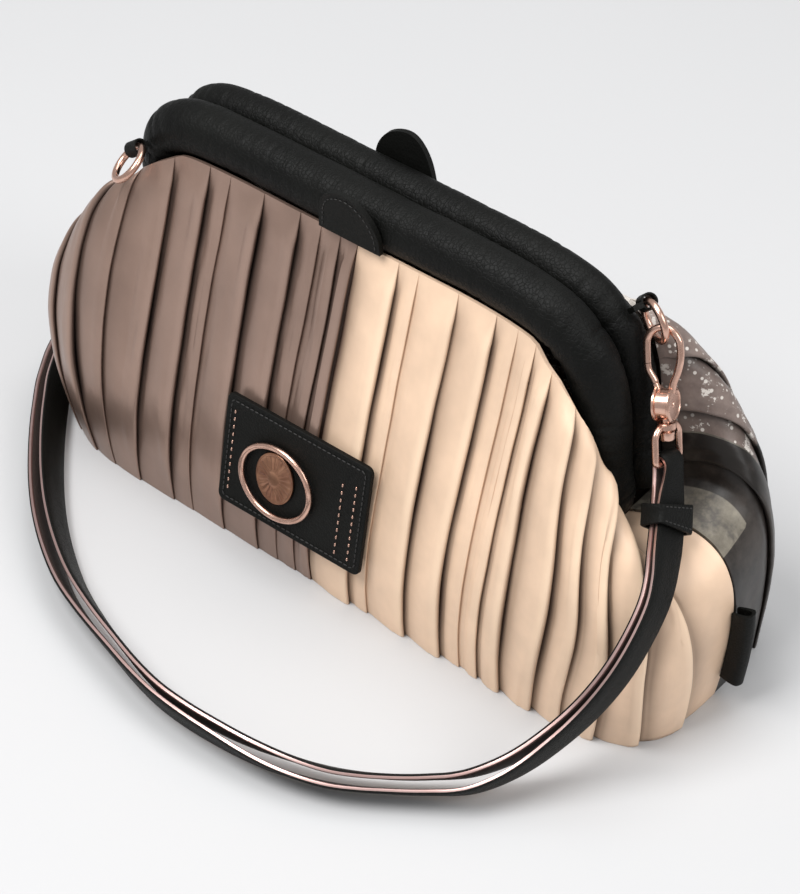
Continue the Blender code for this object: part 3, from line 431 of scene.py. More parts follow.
def make(name, points, faces, finishes, stands_for, sharp=40, values=None, sides=None):
    """One finished piece of the bag. values are point attributes, sides the finish's number of each face."""
    mesh = plain_mesh(name, points, faces, finishes)
    for key, numbers in (values or {}).items():
        layer = mesh.attributes.new(key, "FLOAT", "POINT")
        layer.data.foreach_set("value", np.asarray(numbers, dtype=np.float32))
    if sides is not None:
        mesh.polygons.foreach_set("material_index", np.asarray(sides, dtype=np.int32))
    mesh.shade_smooth()
    mesh.set_sharp_from_angle(angle=radians(sharp))
    item = put_in_scene(name, mesh)
    settle_piece(item, "bag", stands_for)
    return item


# %% [markdown]
# A skin over a row of rings, a wall between two grids of points and a smooth curve through given points are
# all the tools that the shapes need.

# %% Curves and skins
def mix(a, b, share):
    return a + (b - a) * share


def smooth_step(value):
    value = min(1.0, max(0.0, value))
    return value * value * (3 - 2 * value)


def around(count):
    """Evenly spaced angles of a whole turn."""
    return [2 * pi * i / count for i in range(count)]


def skin(rings, closed=False):
    """Points and faces over rings of equal count; an open row of rings gets end caps."""
    rings = [np.asarray(ring, dtype=float) for ring in rings]
    count, total = len(rings[0]), len(rings)
    faces = []
    for i in range(total if closed else total - 1):
        here, there = i * count, ((i + 1) % total) * count
        for j in range(count):
            after = (j + 1) % count
            faces.append((here + j, here + after, there + after, there + j))
    if not closed:
        faces += [tuple(range(count)), tuple(range(total * count - 1, (total - 1) * count - 1, -1))]
    return np.concatenate(rings), faces


def shell(outer, inner):
    """Points and faces of a wall between two grids of equal size, with its four rims."""
    rows, columns = outer.shape[:2]
    points = np.concatenate([outer.reshape(-1, 3), inner.reshape(-1, 3)])
    back = rows * columns
    faces = []
    for i in range(rows - 1):
        for j in range(columns - 1):
            a = i * columns + j
            corners = (a, a + 1, a + columns + 1, a + columns)
            faces.append(corners)
            faces.append(tuple(back + corner for corner in reversed(corners)))
    edge = list(range(columns)) + [i * columns + columns - 1 for i in range(1, rows)]
    edge += [(rows - 1) * columns + j for j in range(columns - 2, -1, -1)]
    edge += [i * columns for i in range(rows - 2, 0, -1)]
    faces += [(b, a, back + a, back + b) for a, b in zip(edge, edge[1:] + edge[:1])]
    return points, faces


def through(points, steps):
    """A smooth curve through vectors of any length, with the given number of steps for each span."""
    out = []
    last = len(points) - 1
    for i in range(last):
        p0, p1, p2, p3 = (points[max(i - 1, 0)], points[i], points[i + 1], points[min(i + 2, last)])
        for k in range(steps):
            t = k / steps
            out.append([0.5 * ((2 * b) + (c - a) * t + (2 * a - 5 * b + 4 * c - d) * t * t
                               + (3 * b - a - 3 * c + d) * t ** 3) for a, b, c, d in zip(p0, p1, p2, p3)])
    out.append(list(points[last]))
    return out


class Line:
    """A polyline that is read by the share of its length."""

    def __init__(self, points):
        self.points = np.asarray([tuple(p) for p in points], dtype=float)
        self.marks = np.concatenate([[0.0], np.cumsum(np.linalg.norm(np.diff(self.points, axis=0), axis=1))])
        self.length = self.marks[-1]

    def at(self, share):
        want = min(1.0, max(0.0, share)) * self.length
        return Vector([np.interp(want, self.marks, self.points[:, k]) for k in range(3)])


def frame_about(along, hint):
    """Two unit vectors square to a direction, the first as near to the hint as can be."""
    along = along.normalized()
    first = (hint - along * hint.dot(along)).normalized()
    return first, along.cross(first).normalized()

# %% [markdown]
# The mouth is a bowed metal frame inside two padded rolls. One half of the bow is a list of points, as
# shares of the frame's reach and rise, and a roll is an oval swept along it. The real leather is pulled
# tight round the bends and wrinkles there, so the sweep carries a little uneven swelling, stronger where
# the frame turns.

# %% The rolls
FRAME_RIGHT, FRAME_LEFT, FRAME_TOP, LEG_END = 119.0, 103.0, 162.0, 78.0
ROLL_WIDE, ROLL_TALL, BACK_ROLL_WIDE, BACK_ROLL_TALL, BACK_ROLL_DROP = 10.4, 11.0, 8.6, 9.6, 1.5
CLEAR = 0.3
RIGHT_BOW = ((0.0, 1.0), (0.25, 1.0), (0.48, 1.0), (0.655, 0.982), (0.786, 0.94), (0.874, 0.85),
             (0.92, 0.774), (0.966, 0.577), (0.983, 0.262), (1.02, 0.0))
LEFT_BOW = ((0.0, 1.0), (0.28, 1.0), (0.55, 1.0), (0.775, 0.985), (0.885, 0.945), (0.95, 0.87),
            (0.978, 0.76), (0.987, 0.57), (0.995, 0.26), (1.02, 0.0))
BOW_STEPS = 8
ROLL_STEPS, ROLL_ROUND = 150, 44
ROLL_SWELL, ROLL_WRINKLE = 0.30, 1.5      # millimetres
BEND_STARTS, BEND_FULL = 0.45, 0.60       # shares of the way, between which the wrinkles deepen


def frame_half(top, way):
    """Half of the frame's bow, from the middle to the end of the right (1) or left (-1) leg."""
    reach, bow = (FRAME_RIGHT, RIGHT_BOW) if way > 0 else (FRAME_LEFT, LEFT_BOW)
    points = [(way * reach * x, 0.0, LEG_END + (top - LEG_END) * rise) for x, rise in bow]
    return Line(through(points, BOW_STEPS))


def frame_at(line, share):
    """The middle of a roll, its outward direction and its run, for a share of the way to the leg's end."""
    step = 0.01
    run = (line.at(share + step) - line.at(share - step)).normalized()
    outward = Vector((-run.z, 0.0, run.x))
    return line.at(share), outward * (1 if line.points[-1][0] > 0 else -1), run


def roll_sizes(side):
    """Half depth, half thickness and the height of the roll's middle."""
    if side < 0:
        return ROLL_WIDE, ROLL_TALL, FRAME_TOP
    return BACK_ROLL_WIDE, BACK_ROLL_TALL, FRAME_TOP - BACK_ROLL_DROP


def beside_roll(side, way, share, across, proud):
    """A place beside a roll: across and proud are shares of its half depth and of its half thickness."""
    wide, tall, top = roll_sizes(side)
    middle, out, _ = frame_at(frame_half(top, way), share)
    return middle + Vector((0, side * (wide * (1 + across) + CLEAR / 2), 0)) + out * (tall * proud)


def roll_ring(side, way, line, share):
    """One section of a roll: an oval that swells unevenly, wrinkles in the bends and closes at the tip."""
    wide, tall, _ = roll_sizes(side)
    middle, out, _ = frame_at(line, share)
    to_tip = min(1.0, (1 - share) * line.length / tall)
    size = mix(0.45, 1.0, sqrt(1 - (1 - to_tip) ** 2))
    bend = 0.35 + 0.65 * smooth_step((share - BEND_STARTS) / (BEND_FULL - BEND_STARTS))
    beside = Vector((0, side * (wide + CLEAR / 2), 0))
    ring = []
    for a in around(ROLL_ROUND):
        here = Vector((middle.x * 0.05, side * 3.0 + middle.z * 0.05, a * 0.6))
        swell = noise.noise(here * 1.3) * ROLL_SWELL
        pull = noise.noise(Vector((share * line.length * 0.42, a * 0.8, side * 7.0)))
        wrinkle = -max(0.0, pull - 0.12) * ROLL_WRINKLE * bend
        grow = size + (swell + wrinkle) / tall
        flattened = 0.985 if cos(a) < 0 else 1.0
        across = Vector((0, side * wide * grow * cos(a) * flattened, 0))
        ring.append(tuple(middle + beside + across + out * (tall * grow * sin(a))))
    return ring


def roll(node, name, side):
    top = roll_sizes(side)[2]
    rings = []
    for way in (-1, 1):
        line = frame_half(top, way)
        half = [roll_ring(side, way, line, i / ROLL_STEPS) for i in range(ROLL_STEPS + 1)]
        rings += half[:0:-1] if way < 0 else half
    points, faces = skin(rings)
    points[:, 1] = side * np.maximum(side * points[:, 1], CLEAR / 4)
    return make(name, points, faces, [ROLL_BLACK], [node])


roll("frame_roll_front", "roll_front", -1)
roll("frame_roll_back", "roll_back", 1)
print("rolls swept over", ROLL_STEPS * 2, "rings of", ROLL_ROUND)

# %% [markdown]
# Each leather wall is a curved surface between the mouth's edge and the base. A point of it is named by two
# numbers: the share of the way along the mouth's edge, and how far down it lies. At each share a cubic
# curve drops from the edge to the base, and a table says how it leaves and how it lands, so the ends can
# billow out. These are the solids' own curves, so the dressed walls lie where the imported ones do.

# %% Sizes of the walls
WALL, PLEAT = 1.6, 3.2
BASE_HALF_DEPTH, RIGHT_REACH, LEFT_REACH, BILLOW, STRAIGHT = 50.0, 166.0, 152.0, 56.0, 95.0
TUCKED = {"front right": (0.50, 0.86), "back right": (0.44, 0.68), "left": (0.50, 0.76)}
# A share past the straight part, then how the curve leaves the edge and how it lands, in shares of the billow
ENDS = {
    "front right": ((0.0, 0.0, 0.21, -0.90, 0.0, 0.11, 0.80), (0.2, 0.14, 0.25, -0.55, 0.14, 0.14, 0.80),
                    (0.4, 0.24, 0.20, -0.34, 0.12, 0.14, 0.82), (0.7, 0.46, 0.12, -0.04, 0.20, 0.12, 0.96),
                    (1.0, 0.86, 0.0, 0.32, 0.21, 0.0, 1.22)),
    "back right": ((0.0, 0.0, 0.21, -0.90, 0.0, 0.11, 0.80), (0.1, 0.14, 0.32, -0.10, 0.06, 0.13, 0.86),
                   (0.2, 0.33, 0.32, 0.14, 0.12, 0.14, 0.95), (0.4, 0.58, 0.25, 0.40, 0.12, 0.14, 1.06),
                   (0.7, 0.72, 0.14, 0.50, 0.08, 0.09, 1.14), (1.0, 0.86, 0.0, 0.32, 0.21, 0.0, 1.22)),
    "left": ((0.0, 0.0, 0.21, -0.90, 0.0, 0.11, 0.80), (0.1, 0.14, 0.25, -0.25, 0.10, 0.13, 0.85),
             (0.2, 0.36, 0.21, 0.11, 0.20, 0.14, 0.92), (0.4, 0.61, 0.14, 0.22, 0.30, 0.14, 1.00),
             (0.7, 0.72, 0.10, 0.22, 0.20, 0.12, 1.10), (1.0, 0.75, 0.0, 0.18, 0.16, 0.0, 1.10)),
}
ROWS = np.array((0.0, 0.06, 0.18, 0.35, 0.54, 0.74, 0.90, 1.0))


def between(rows, place):
    """The row at a place, for rows that begin with theirs."""
    for low, high in zip(rows, rows[1:]):
        if place <= high[0]:
            part = (place - low[0]) / (high[0] - low[0])
            share = smooth_step(part) * 0.4 + part * 0.6
            return [mix(a, b, share) for a, b in zip(low, high)]
    return list(rows[-1])


def end_name(side, way):
    return "left" if way < 0 else "front right" if side < 0 else "back right"


print("tables for", len(ENDS), "ends, read at", len(ROWS), "heights")

# %% [markdown]
# The mouth's edge runs along the roll's lower outer side. Down a leg it turns outward round the roll, and
# below the leg it closes in to the side seam. The base's ends are flattened ovals, squarer at the right
# than at the left.

# %% Walls
EDGE_STEPS, CLOSING_STEPS, BASE_STEPS, SEARCH_STEPS = 60, 12, 40, 1000
UNDER_ROLL, UNDER_LEG = 46, -28       # degrees below the roll's side
LEFT_OVAL, RIGHT_OVAL = 2.3, 4.0
AXIS_STEP = 0.004
NORMAL_MEMORY = 0.5            # how much of the row above steadies the outward direction


class Wall:
    """The smooth leather wall of one side of the bag, under its pleats."""

    def __init__(self, side):
        self.side = side
        self.edges = {way: self.mouth_edge(way) for way in (-1, 1)}
        self.ends = {-1: Line(self.base_end(-1, LEFT_REACH, LEFT_OVAL)),
                     1: Line(self.base_end(1, RIGHT_REACH, RIGHT_OVAL))}
        self.turns = {way: self.share_where_straight_ends(way) for way in (-1, 1)}

    def mouth_edge(self, way):
        """From the middle along the roll, down a leg, and in under its end to the side seam."""
        wide, tall, top = roll_sizes(self.side)
        line = frame_half(top, way)
        half = []
        beside = WALL + CLEAR * 1.4
        reach = wide * (1 + cos(radians(UNDER_LEG))) + CLEAR * 3 + beside
        low, high = TUCKED[end_name(self.side, way)]
        for i in range(EDGE_STEPS + 1):
            share = i / EDGE_STEPS
            middle, out, _ = frame_at(line, share)
            under = radians(mix(UNDER_ROLL, UNDER_LEG, smooth_step((share - low) / (high - low))))
            off = beside * smooth_step((share - low) / 0.1)
            y = wide + (wide + off) * cos(under) + CLEAR * 3
            below = out * ((tall + CLEAR * 2 + off) * sin(under))
            half.append(middle + Vector((0, self.side * y, 0)) - below)
        end = line.at(1.0)
        last_x = half[-1].x
        drop = 3 * CLEAR + 0.75 * tall
        for i in range(1, CLOSING_STEPS + 1):
            turn = pi / 2 * i / CLOSING_STEPS
            y = self.side * mix(CLEAR / 2, reach, cos(turn))
            half.append(Vector((mix(last_x, end.x + 2.0 * way, sin(turn)), y, end.z - drop * sin(turn))))
        return Line(half)

    def base_end(self, way, reach, power):
        out = []
        for i in range(BASE_STEPS + 1):
            turn = pi / 2 * i / BASE_STEPS
            x = way * (STRAIGHT + (reach - STRAIGHT) * sin(turn) ** (2 / power))
            out.append((x, self.side * max(CLEAR / 2, BASE_HALF_DEPTH * cos(turn) ** (2 / power)), 0.0))
        return out

    def share_where_straight_ends(self, way):
        for i in range(SEARCH_STEPS):
            if abs(self.edges[way].at(i / SEARCH_STEPS).x) >= STRAIGHT:
                return i / SEARCH_STEPS
        return 0.5

    def drop(self, share, downs):
        """The points of one column, for an array of distances down."""
        side = self.side
        share = min(1.0, max(-1.0, share))
        way = 1 if share > 0 else -1
        top = self.edges[way].at(abs(share))
        straight = self.turns[way]
        past = max(0.0, (abs(share) - straight) / (1 - straight))
        foot = self.ends[way].at(past) if past > 0 else Vector((top.x, side * BASE_HALF_DEPTH, 0.0))
        row = between(ENDS[end_name(side, way)], past)
        leave = top + Vector((way * row[1], side * row[2], row[3])) * BILLOW
        settle = foot + Vector((way * row[4], side * row[5], row[6])) * BILLOW
        d = np.clip(np.asarray(downs, dtype=float), 0, 1)[:, None]
        u = 1 - d
        a, b, c, e = (np.array(v) for v in (top, leave, settle, foot))
        point = a * u ** 3 + b * (3 * u * u * d) + c * (3 * u * d * d) + e * d ** 3
        point[:, 1] = side * np.maximum(side * point[:, 1], CLEAR / 2)
        return point

    def at(self, share, down):
        return Vector(self.drop(share, [down])[0])

    def axes(self, share, downs):
        """Outward and sideways unit vectors of one column, steadied from row to row as the solids' are."""
        across = self.drop(share + AXIS_STEP, ROWS) - self.drop(share - AXIS_STEP, ROWS)
        above, below = np.maximum(0, ROWS - AXIS_STEP), np.minimum(1, ROWS + AXIS_STEP)
        plain = np.cross(across, self.drop(share, below) - self.drop(share, above)) * self.side
        plain /= np.linalg.norm(plain, axis=1)[:, None]
        out = plain[0]
        steady = []
        for normal in plain:
            out = normal + out * NORMAL_MEMORY
            out = out / np.linalg.norm(out)
            steady.append(out)
        return self.read_rows(np.array(steady), downs), self.read_rows(across, downs)

    def read_rows(self, vectors, downs):
        """Unit vectors between the table's rows."""
        found = np.stack([np.interp(downs, ROWS, vectors[:, k]) for k in range(3)], axis=1)
        return found / np.linalg.norm(found, axis=1)[:, None]

    def outward(self, share, down):
        return Vector(self.axes(share, np.array([down]))[0][0])


front, back = Wall(-1), Wall(1)
print("mouth edge, half:", round(front.edges[1].length), "mm")

# %% [markdown]
# A knife pleat is a fold laid over to one side: the leather rises slowly from one crease, rolls over a
# rounded edge and dives back under itself. So the profile is not a height over a line. Its points step
# sideways too, and the rounded edge overhangs the next crease by up to a millimetre, which shades the
# crease, and painted shade in the colour makes it black. A crease with a small height is soft and has
# almost no overhang.

# %% Profile of a pleat
# The places of the creases, as shares along the mouth's edge, and their heights as shares of a full pleat
FRONT_PLEATS = (
    (-1.0, 0.3), (-0.90, 0.6), (-0.80, 0.8), (-0.70, 0.8), (-0.615, 1.0), (-0.545, 0.5), (-0.455, 1.0),
    (-0.355, 1.0), (-0.30, 0.4), (-0.212, 1.0), (-0.118, 1.0), (-0.0636, 0.4), (-0.015, 0.6), (0.028, 0.9),
    (0.126, 1.0), (0.174, 0.4), (0.267, 1.0), (0.356, 1.0), (0.406, 0.4), (0.452, 0.6), (0.51, 1.0),
    (0.585, 1.0), (0.65, 0.7), (0.72, 0.9), (0.80, 0.8), (0.89, 0.9), (1.0, 0.3))
BACK_PLEATS = (
    (-1.0, 0.3), (-0.87, 0.8), (-0.75, 0.6), (-0.64, 1.0), (-0.52, 0.5), (-0.42, 1.0), (-0.30, 0.5),
    (-0.19, 1.0), (-0.07, 0.5), (0.04, 1.0), (0.17, 0.5), (0.28, 1.0), (0.39, 0.5), (0.50, 1.0),
    (0.62, 0.8), (0.73, 1.0), (0.85, 0.8), (1.0, 0.3))
CENTRE_SEAM = 0.028
# Beside a crease: millimetres to its right, rise, painted shade, and how much of it is open fold, where
# the front leathers paint a highlight
CREASE_SIDE = ((-0.35, 0.0, 1.0, 0.0), (0.5, 0.03, 0.94, 0.0), (1.6, 0.09, 0.72, 0.0), (2.8, 0.14, 0.42, 0.0))
FOLD_EDGE = ((-3.4, 0.93, 0.0, 0.25), (-1.9, 0.98, 0.0, 0.7), (-0.7, 1.0, 0.0, 1.0), (0.25, 0.96, 0.0, 1.0),
             (0.8, 0.84, 0.06, 0.6), (1.0, 0.64, 0.25, 0.2), (0.85, 0.42, 0.6, 0.0), (0.45, 0.2, 0.9, 0.0),
             (0.0, 0.06, 1.0, 0.0))
SEAM_CLEAR, SEAM_TUCK = 0.16, 1.25        # millimetres that a panel's first and last fold keep from its seam
BAND_STEPS = 10
# Painted shade on the band beside a crease, under the overhanging fold; more on the slack right end
BAND_SHADE, LOOSE_SHADE = 0.30, 0.66


def looseness(share):
    """0 on the stretched front and 1 on the slack leather of the right end."""
    return smooth_step((share - 0.42) / 0.25)


def hardness(height):
    """How sharply a crease is folded."""
    return min(1.0, max(0.12, (height - 0.4) / 0.35))


def pleat_columns(wall, pleats, start, end):
    """Rows of share, sidestep, rise, painted shade and open fold from one crease to the last."""
    chosen = [row for row in pleats if start <= row[0] <= end]
    begin, begin_rise = CREASE_SIDE[-1][:2]
    finish, finish_rise = FOLD_EDGE[0][:2]
    columns = []
    for i, ((a, left), (b, height)) in enumerate(zip(chosen, chosen[1:])):
        half = wall.edges[1 if b > 0 else -1].length
        hard_a, hard_b = hardness(left), hardness(height)
        for step, rise, dark, fold in CREASE_SIDE:
            step = max(step, SEAM_CLEAR) if i == 0 and start > -1 else step
            columns.append((a, step, rise * height, dark * hard_a, fold))
        for k in range(BAND_STEPS):
            t = (k + 1) / (BAND_STEPS + 1)
            share = mix(a + begin / half, b + finish / half, t)
            shade = mix(BAND_SHADE, LOOSE_SHADE, looseness(share)) * (1 - t) ** 4 * hard_a
            rise = mix(begin_rise, finish_rise, t ** 0.78)
            columns.append((share, 0.0, rise * height, shade, 0.25 * t ** 4))
        for step, rise, dark, fold in FOLD_EDGE:
            step = step - SEAM_TUCK if i == len(chosen) - 2 and end < 1 else step
            step = step if step < 0 else step * hard_b
            soft_rise = rise * 0.6 + 0.4 * finish_rise
            columns.append((b, step, mix(soft_rise, rise, hard_b) * height, dark * hard_b, fold * hard_b))
    return columns


print("creases", len(FRONT_PLEATS), "in front and", len(BACK_PLEATS), "behind")

# %% [markdown]
# No two pleats of a real bag run alike. Every crease wanders a little on its way down and its fold swells
# and sinks, more so at the slack right end, which is drawn from smooth noise of the place. Each column also
# writes how much shade is painted in its crease and how open its fold is, where the highlight is painted,
# for the finishes to read.

# %% Pleated panels
DROP_STEPS = 64
WANDER, LOOSE_WANDER = 1.5, 5.5           # millimetres sideways
SWELL, LOOSE_SWELL = 0.28, 0.50           # share of the height
DEEPER, RIPPLE = 1.3, 0.30                # height of the slack pleats, and millimetres of ripple


def fade(down, foot):
    """How much of a pleat's height is left: stitched flat at the mouth, and softer at the foot."""
    return smooth_step(down / 0.12 + 0.15) * mix(1.0, foot, smooth_step((down - 0.7) / 0.3))


def waves(place, downs, along, row):
    """Smooth noise down one column."""
    return np.array([noise.noise(Vector((place, d * along, row))) for d in downs])


def pleated(node, name, wall, pleats, start, end, foot, finish, slot, tones=None):
    downs = np.linspace(0.0, 1.0, DROP_STEPS)
    fades = np.array([fade(d, foot) for d in downs])
    outer, inner, dark, proud, tone = [], [], [], [], []
    for share, step, rise, shade, fold in pleat_columns(wall, pleats, start, end):
        middle = wall.drop(share, downs)
        out, side = wall.axes(share, downs)
        loose = looseness(share)
        wander = waves(share * 9.0, downs, 2.2, wall.side * 5.0)
        wander *= np.sin(pi * downs) * mix(WANDER, LOOSE_WANDER, loose)
        swell = waves(share * 14.0 + 20, downs, 3.1, wall.side * 9.0)
        ripple = waves(share * 40.0, downs, 9.0, wall.side * 3.0)
        deep = mix(1.0, DEEPER, loose * smooth_step((0.97 - share) / 0.10)) if wall.side < 0 else 1.0
        height = rise * deep * (1 + mix(SWELL, LOOSE_SWELL, loose) * swell) * fades
        lift = WALL + PLEAT * height + RIPPLE * ripple * fades
        at_seam = abs(share) > 0.995 or (abs(share - CENTRE_SEAM) < 1e-6 and slot != "printed")
        sideways = step * np.minimum(1.0, fades * 1.3) + (0.0 if at_seam else wander)
        point = middle + out * lift[:, None] + side * sideways[:, None]
        point[:, 2] = np.maximum(point[:, 2], 0.0)
        point[:, 1] = wall.side * np.maximum(wall.side * point[:, 1], CLEAR / 2)
        outer.append(point)
        inner.append(middle)
        # Painted shade for the crease and the share of open fold, painted as a highlight on the front leathers;
        # both are weaker where the pleat is shallow.
        depth = np.clip(fades * (0.8 + 0.5 * swell), 0, 1)
        dark.append(shade * depth)
        proud.append(fold * depth)
        tone.append([tones(share, d) if tones else 0.0 for d in downs])
    outer, inner = np.array(outer).transpose(1, 0, 2), np.array(inner).transpose(1, 0, 2)
    points, faces = shell(outer, inner)
    unlit = np.zeros(outer.shape[0] * outer.shape[1])
    values = {key: np.concatenate([np.array(grid).T.reshape(-1), unlit])
              for key, grid in (("crease", dark), ("fold", proud), ("tone", tone))}
    return make(name, points, faces, [finish], [node], sharp=75, values=values)


def print_pieces(share, down):
    """Which cut of the printed leather lies where: 0 ground, 0.5 grey marble, 1 dark."""
    if share > 0.92 and down < 0.46:
        return 0.5
    if share > 0.79 or (share > 0.62 and down > 0.46) or (share < -0.64 and down > 0.5):
        return 1.0
    return 0.5 if -0.42 < share < -0.19 else 0.0


panels = [
    pleated("front_panel_taupe", "pleats_taupe", front, FRONT_PLEATS, -1.0, CENTRE_SEAM, 0.25,
            TAUPE, "taupe"),
    pleated("front_panel_nude", "pleats_nude", front, FRONT_PLEATS, CENTRE_SEAM, 1.0, 0.75, NUDE, "nude"),
    pleated("back_panel", "pleats_back", back, BACK_PLEATS, -1.0, 1.0, 0.5,
            PRINTED, "printed", print_pieces)]
print("pleats", [len(panel.data.polygons) for panel in panels], "faces")

# %% [markdown]
# The flat bottom is a stiff board under the leather. Nobody sees more of it than its edge, so the packed
# solid stays as it is and only takes the black leather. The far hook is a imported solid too, and takes the
# rose gold.

# %% Base and far hook
def dress(node, finish):
    """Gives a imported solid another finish."""
    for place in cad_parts[node].material_slots:
        place.material = finish


for node, finish in (("base_panel", BLACK), ("hook_far", GOLD)):
    dress(node, finish)
    print("dressed", node, "in", finish.name)

# %% [markdown]
# Stitches and rows of small studs repeat along a path, so a small Geometry Nodes tree lays them: it turns a
# drawn path into a curve, spaces points along it, sets a rounded grain on each, turned along the path, and
# makes it all real mesh.

# %% Node tree for stitches
def new_tree(name, sizes):
    tree = bpy.data.node_groups.new(name, "GeometryNodeTree")
    tree.interface.new_socket("Geometry", in_out="INPUT", socket_type="NodeSocketGeometry")
    for key, kind in sizes.items():
        tree.interface.new_socket(key, in_out="INPUT", socket_type="NodeSocket" + kind)
    tree.interface.new_socket("Geometry", in_out="OUTPUT", socket_type="NodeSocketGeometry")
    return tree, tree.nodes.new("NodeGroupInput"), tree.nodes.new("NodeGroupOutput")


def new_nodes(tree, kinds):
    return [tree.nodes.new(kind) for kind in kinds]


def link_nodes(tree, links):
    """Joins nodes, from rows of a node, its output, the next node and its input."""
    for source, output, target, entry in links:
        tree.links.new(source.outputs[output], target.inputs[entry])


def stitch_tree():
    sizes = {"Pitch": "Float", "Length": "Float", "Thickness": "Float", "Finish": "Material"}
    tree, start, end = new_tree("stitches along a path", sizes)
    curve, points, grain, size, tangent, turn, place, real, dressed = new_nodes(tree, (
        "GeometryNodeMeshToCurve", "GeometryNodeResampleCurve", "GeometryNodeMeshUVSphere",
        "ShaderNodeCombineXYZ", "GeometryNodeInputTangent", "FunctionNodeAlignRotationToVector",
        "GeometryNodeInstanceOnPoints", "GeometryNodeRealizeInstances", "GeometryNodeSetMaterial"))
    points.mode = "LENGTH"
    turn.axis = "X"
    for key, value in (("Segments", 8), ("Rings", 6), ("Radius", 0.5)):
        grain.inputs[key].default_value = value
    link_nodes(tree, (
        (start, "Geometry", curve, "Mesh"), (curve, "Curve", points, "Curve"),
        (start, "Pitch", points, "Length"), (points, "Curve", place, "Points"),
        (grain, "Mesh", place, "Instance"), (start, "Length", size, "X"),
        (start, "Thickness", size, "Y"), (start, "Thickness", size, "Z"), (size, "Vector", place, "Scale"),
        (tangent, "Tangent", turn, "Vector"), (turn, "Rotation", place, "Rotation"),
        (place, "Instances", real, "Geometry"), (real, "Geometry", dressed, "Geometry"),
        (start, "Finish", dressed, "Material"), (dressed, "Geometry", end, "Geometry")))
    return tree


STITCHES = stitch_tree()
print("tree for stitches has", len(STITCHES.nodes), "nodes")

# %% [markdown]
# A second tree draws a round wire along a path, for every ring and loop of the fittings. The path is an
# open or a closed row of points, and a circle is swept along it.

# %% Node tree for wire
def wire_tree():
    sizes = {"Radius": "Float", "Sides": "Int", "Finish": "Material"}
    tree, start, end = new_tree("round wire along a path", sizes)
    curve, section, sweep, smooth, real, dressed = new_nodes(tree, (
        "GeometryNodeMeshToCurve", "GeometryNodeCurvePrimitiveCircle", "GeometryNodeCurveToMesh",
        "GeometryNodeSetShadeSmooth", "GeometryNodeRealizeInstances", "GeometryNodeSetMaterial"))
    sweep.inputs["Fill Caps"].default_value = True
    link_nodes(tree, (
        (start, "Geometry", curve, "Mesh"), (curve, "Curve", sweep, "Curve"),
        (start, "Radius", section, "Radius"), (start, "Sides", section, "Resolution"),
        (section, "Curve", sweep, "Profile Curve"), (sweep, "Mesh", smooth, "Geometry"),
        (smooth, "Geometry", real, "Geometry"), (real, "Geometry", dressed, "Geometry"),
        (start, "Finish", dressed, "Material"), (dressed, "Geometry", end, "Geometry")))
    return tree


WIRE = wire_tree()
WIRE_SIDES = 20
print("tree for wire has", len(WIRE.nodes), "nodes")

# %% [markdown]
# A tree works on a drawn path through a modifier. The modifier's inputs are set by their identifiers, the
# result is taken as a plain mesh, and the modifier is removed. Fittings of several parts are joined to one
# object.

# %% Grown and joined pieces
def grown(name, paths, closed, tree, inputs):
    """The plain mesh that a tree makes on paths in millimetres."""
    points, edges = [], []
    for path in paths:
        first = len(points)
        points += [tuple(Vector(p) * MM) for p in path]
        edges += [(first + i, first + i + 1) for i in range(len(path) - 1)]
        if closed:
            edges.append((first + len(path) - 1, first))
    drawn = bpy.data.meshes.new(name + "_path")
    drawn.from_pydata(points, edges, [])
    item = put_in_scene(name, drawn)
    step = item.modifiers.new("grow", "NODES")
    step.node_group = tree
    sockets = [socket for socket in tree.interface.items_tree if socket.in_out == "INPUT"]
    keys = {socket.name: socket.identifier for socket in sockets}
    for key, value in inputs.items():
        step[keys[key]] = value
    mesh = bpy.data.meshes.new_from_object(item.evaluated_get(bpy.context.evaluated_depsgraph_get()))
    item.modifiers.clear()
    item.data = mesh
    mesh.name = name
    return item


def stitches(name, paths, pitch, length, thickness, closed=False, finish=THREAD):
    item = grown(name, paths, closed, STITCHES, {"Pitch": pitch * MM, "Length": length * MM,
                                                 "Thickness": thickness * MM, "Finish": finish})
    item.data.shade_smooth()
    settle_piece(item, "bag", ())
    return item


def wire(name, path, radius, closed=False):
    return grown(name, [path], closed, WIRE, {"Radius": radius * MM, "Sides": WIRE_SIDES, "Finish": GOLD})


def loose(name, points_and_faces, finish):
    """A piece that waits to be joined: it rides on no body yet."""
    return put_in_scene(name, plain_mesh(name, *points_and_faces, [finish]))


def joined(name, items, body, node):
    """Several loose pieces as one object, with the first one's finish."""
    target = items[0]
    work = bmesh.new()
    for item in items:
        work.from_mesh(item.data)
    mesh = bpy.data.meshes.new(name)
    work.to_mesh(mesh)
    work.free()
    mesh.materials.append(target.data.materials[0])
    mesh.polygons.foreach_set("material_index", np.zeros(len(mesh.polygons), dtype=np.int32))
    mesh.shade_smooth()
    mesh.set_sharp_from_angle(angle=radians(38))
    for item in items[1:]:
        bpy.data.objects.remove(item)
    target.data = mesh
    target.name = name
    settle_piece(target, body, [node])
    return target


print("grown pieces are plain meshes, with no modifier left")

# %% [markdown]
# The patch is a thin stitched leather plate over the centre seam. It is laid on the tops of the pleats,
# square to their slope. The plate's rim is rounded by a few shrinking rings.

# %% Patch
PATCH_LONG, PATCH_HIGH, PATCH_THICK, PATCH_CENTRE_X, PATCH_CENTRE_Z = 74.0, 51.0, 2.0, -0.8, 50.0
PATCH_BEVEL, PATCH_DISH = 0.6, 0.12
SEAM_INSET, ON_TOP = 5.2, 0.02


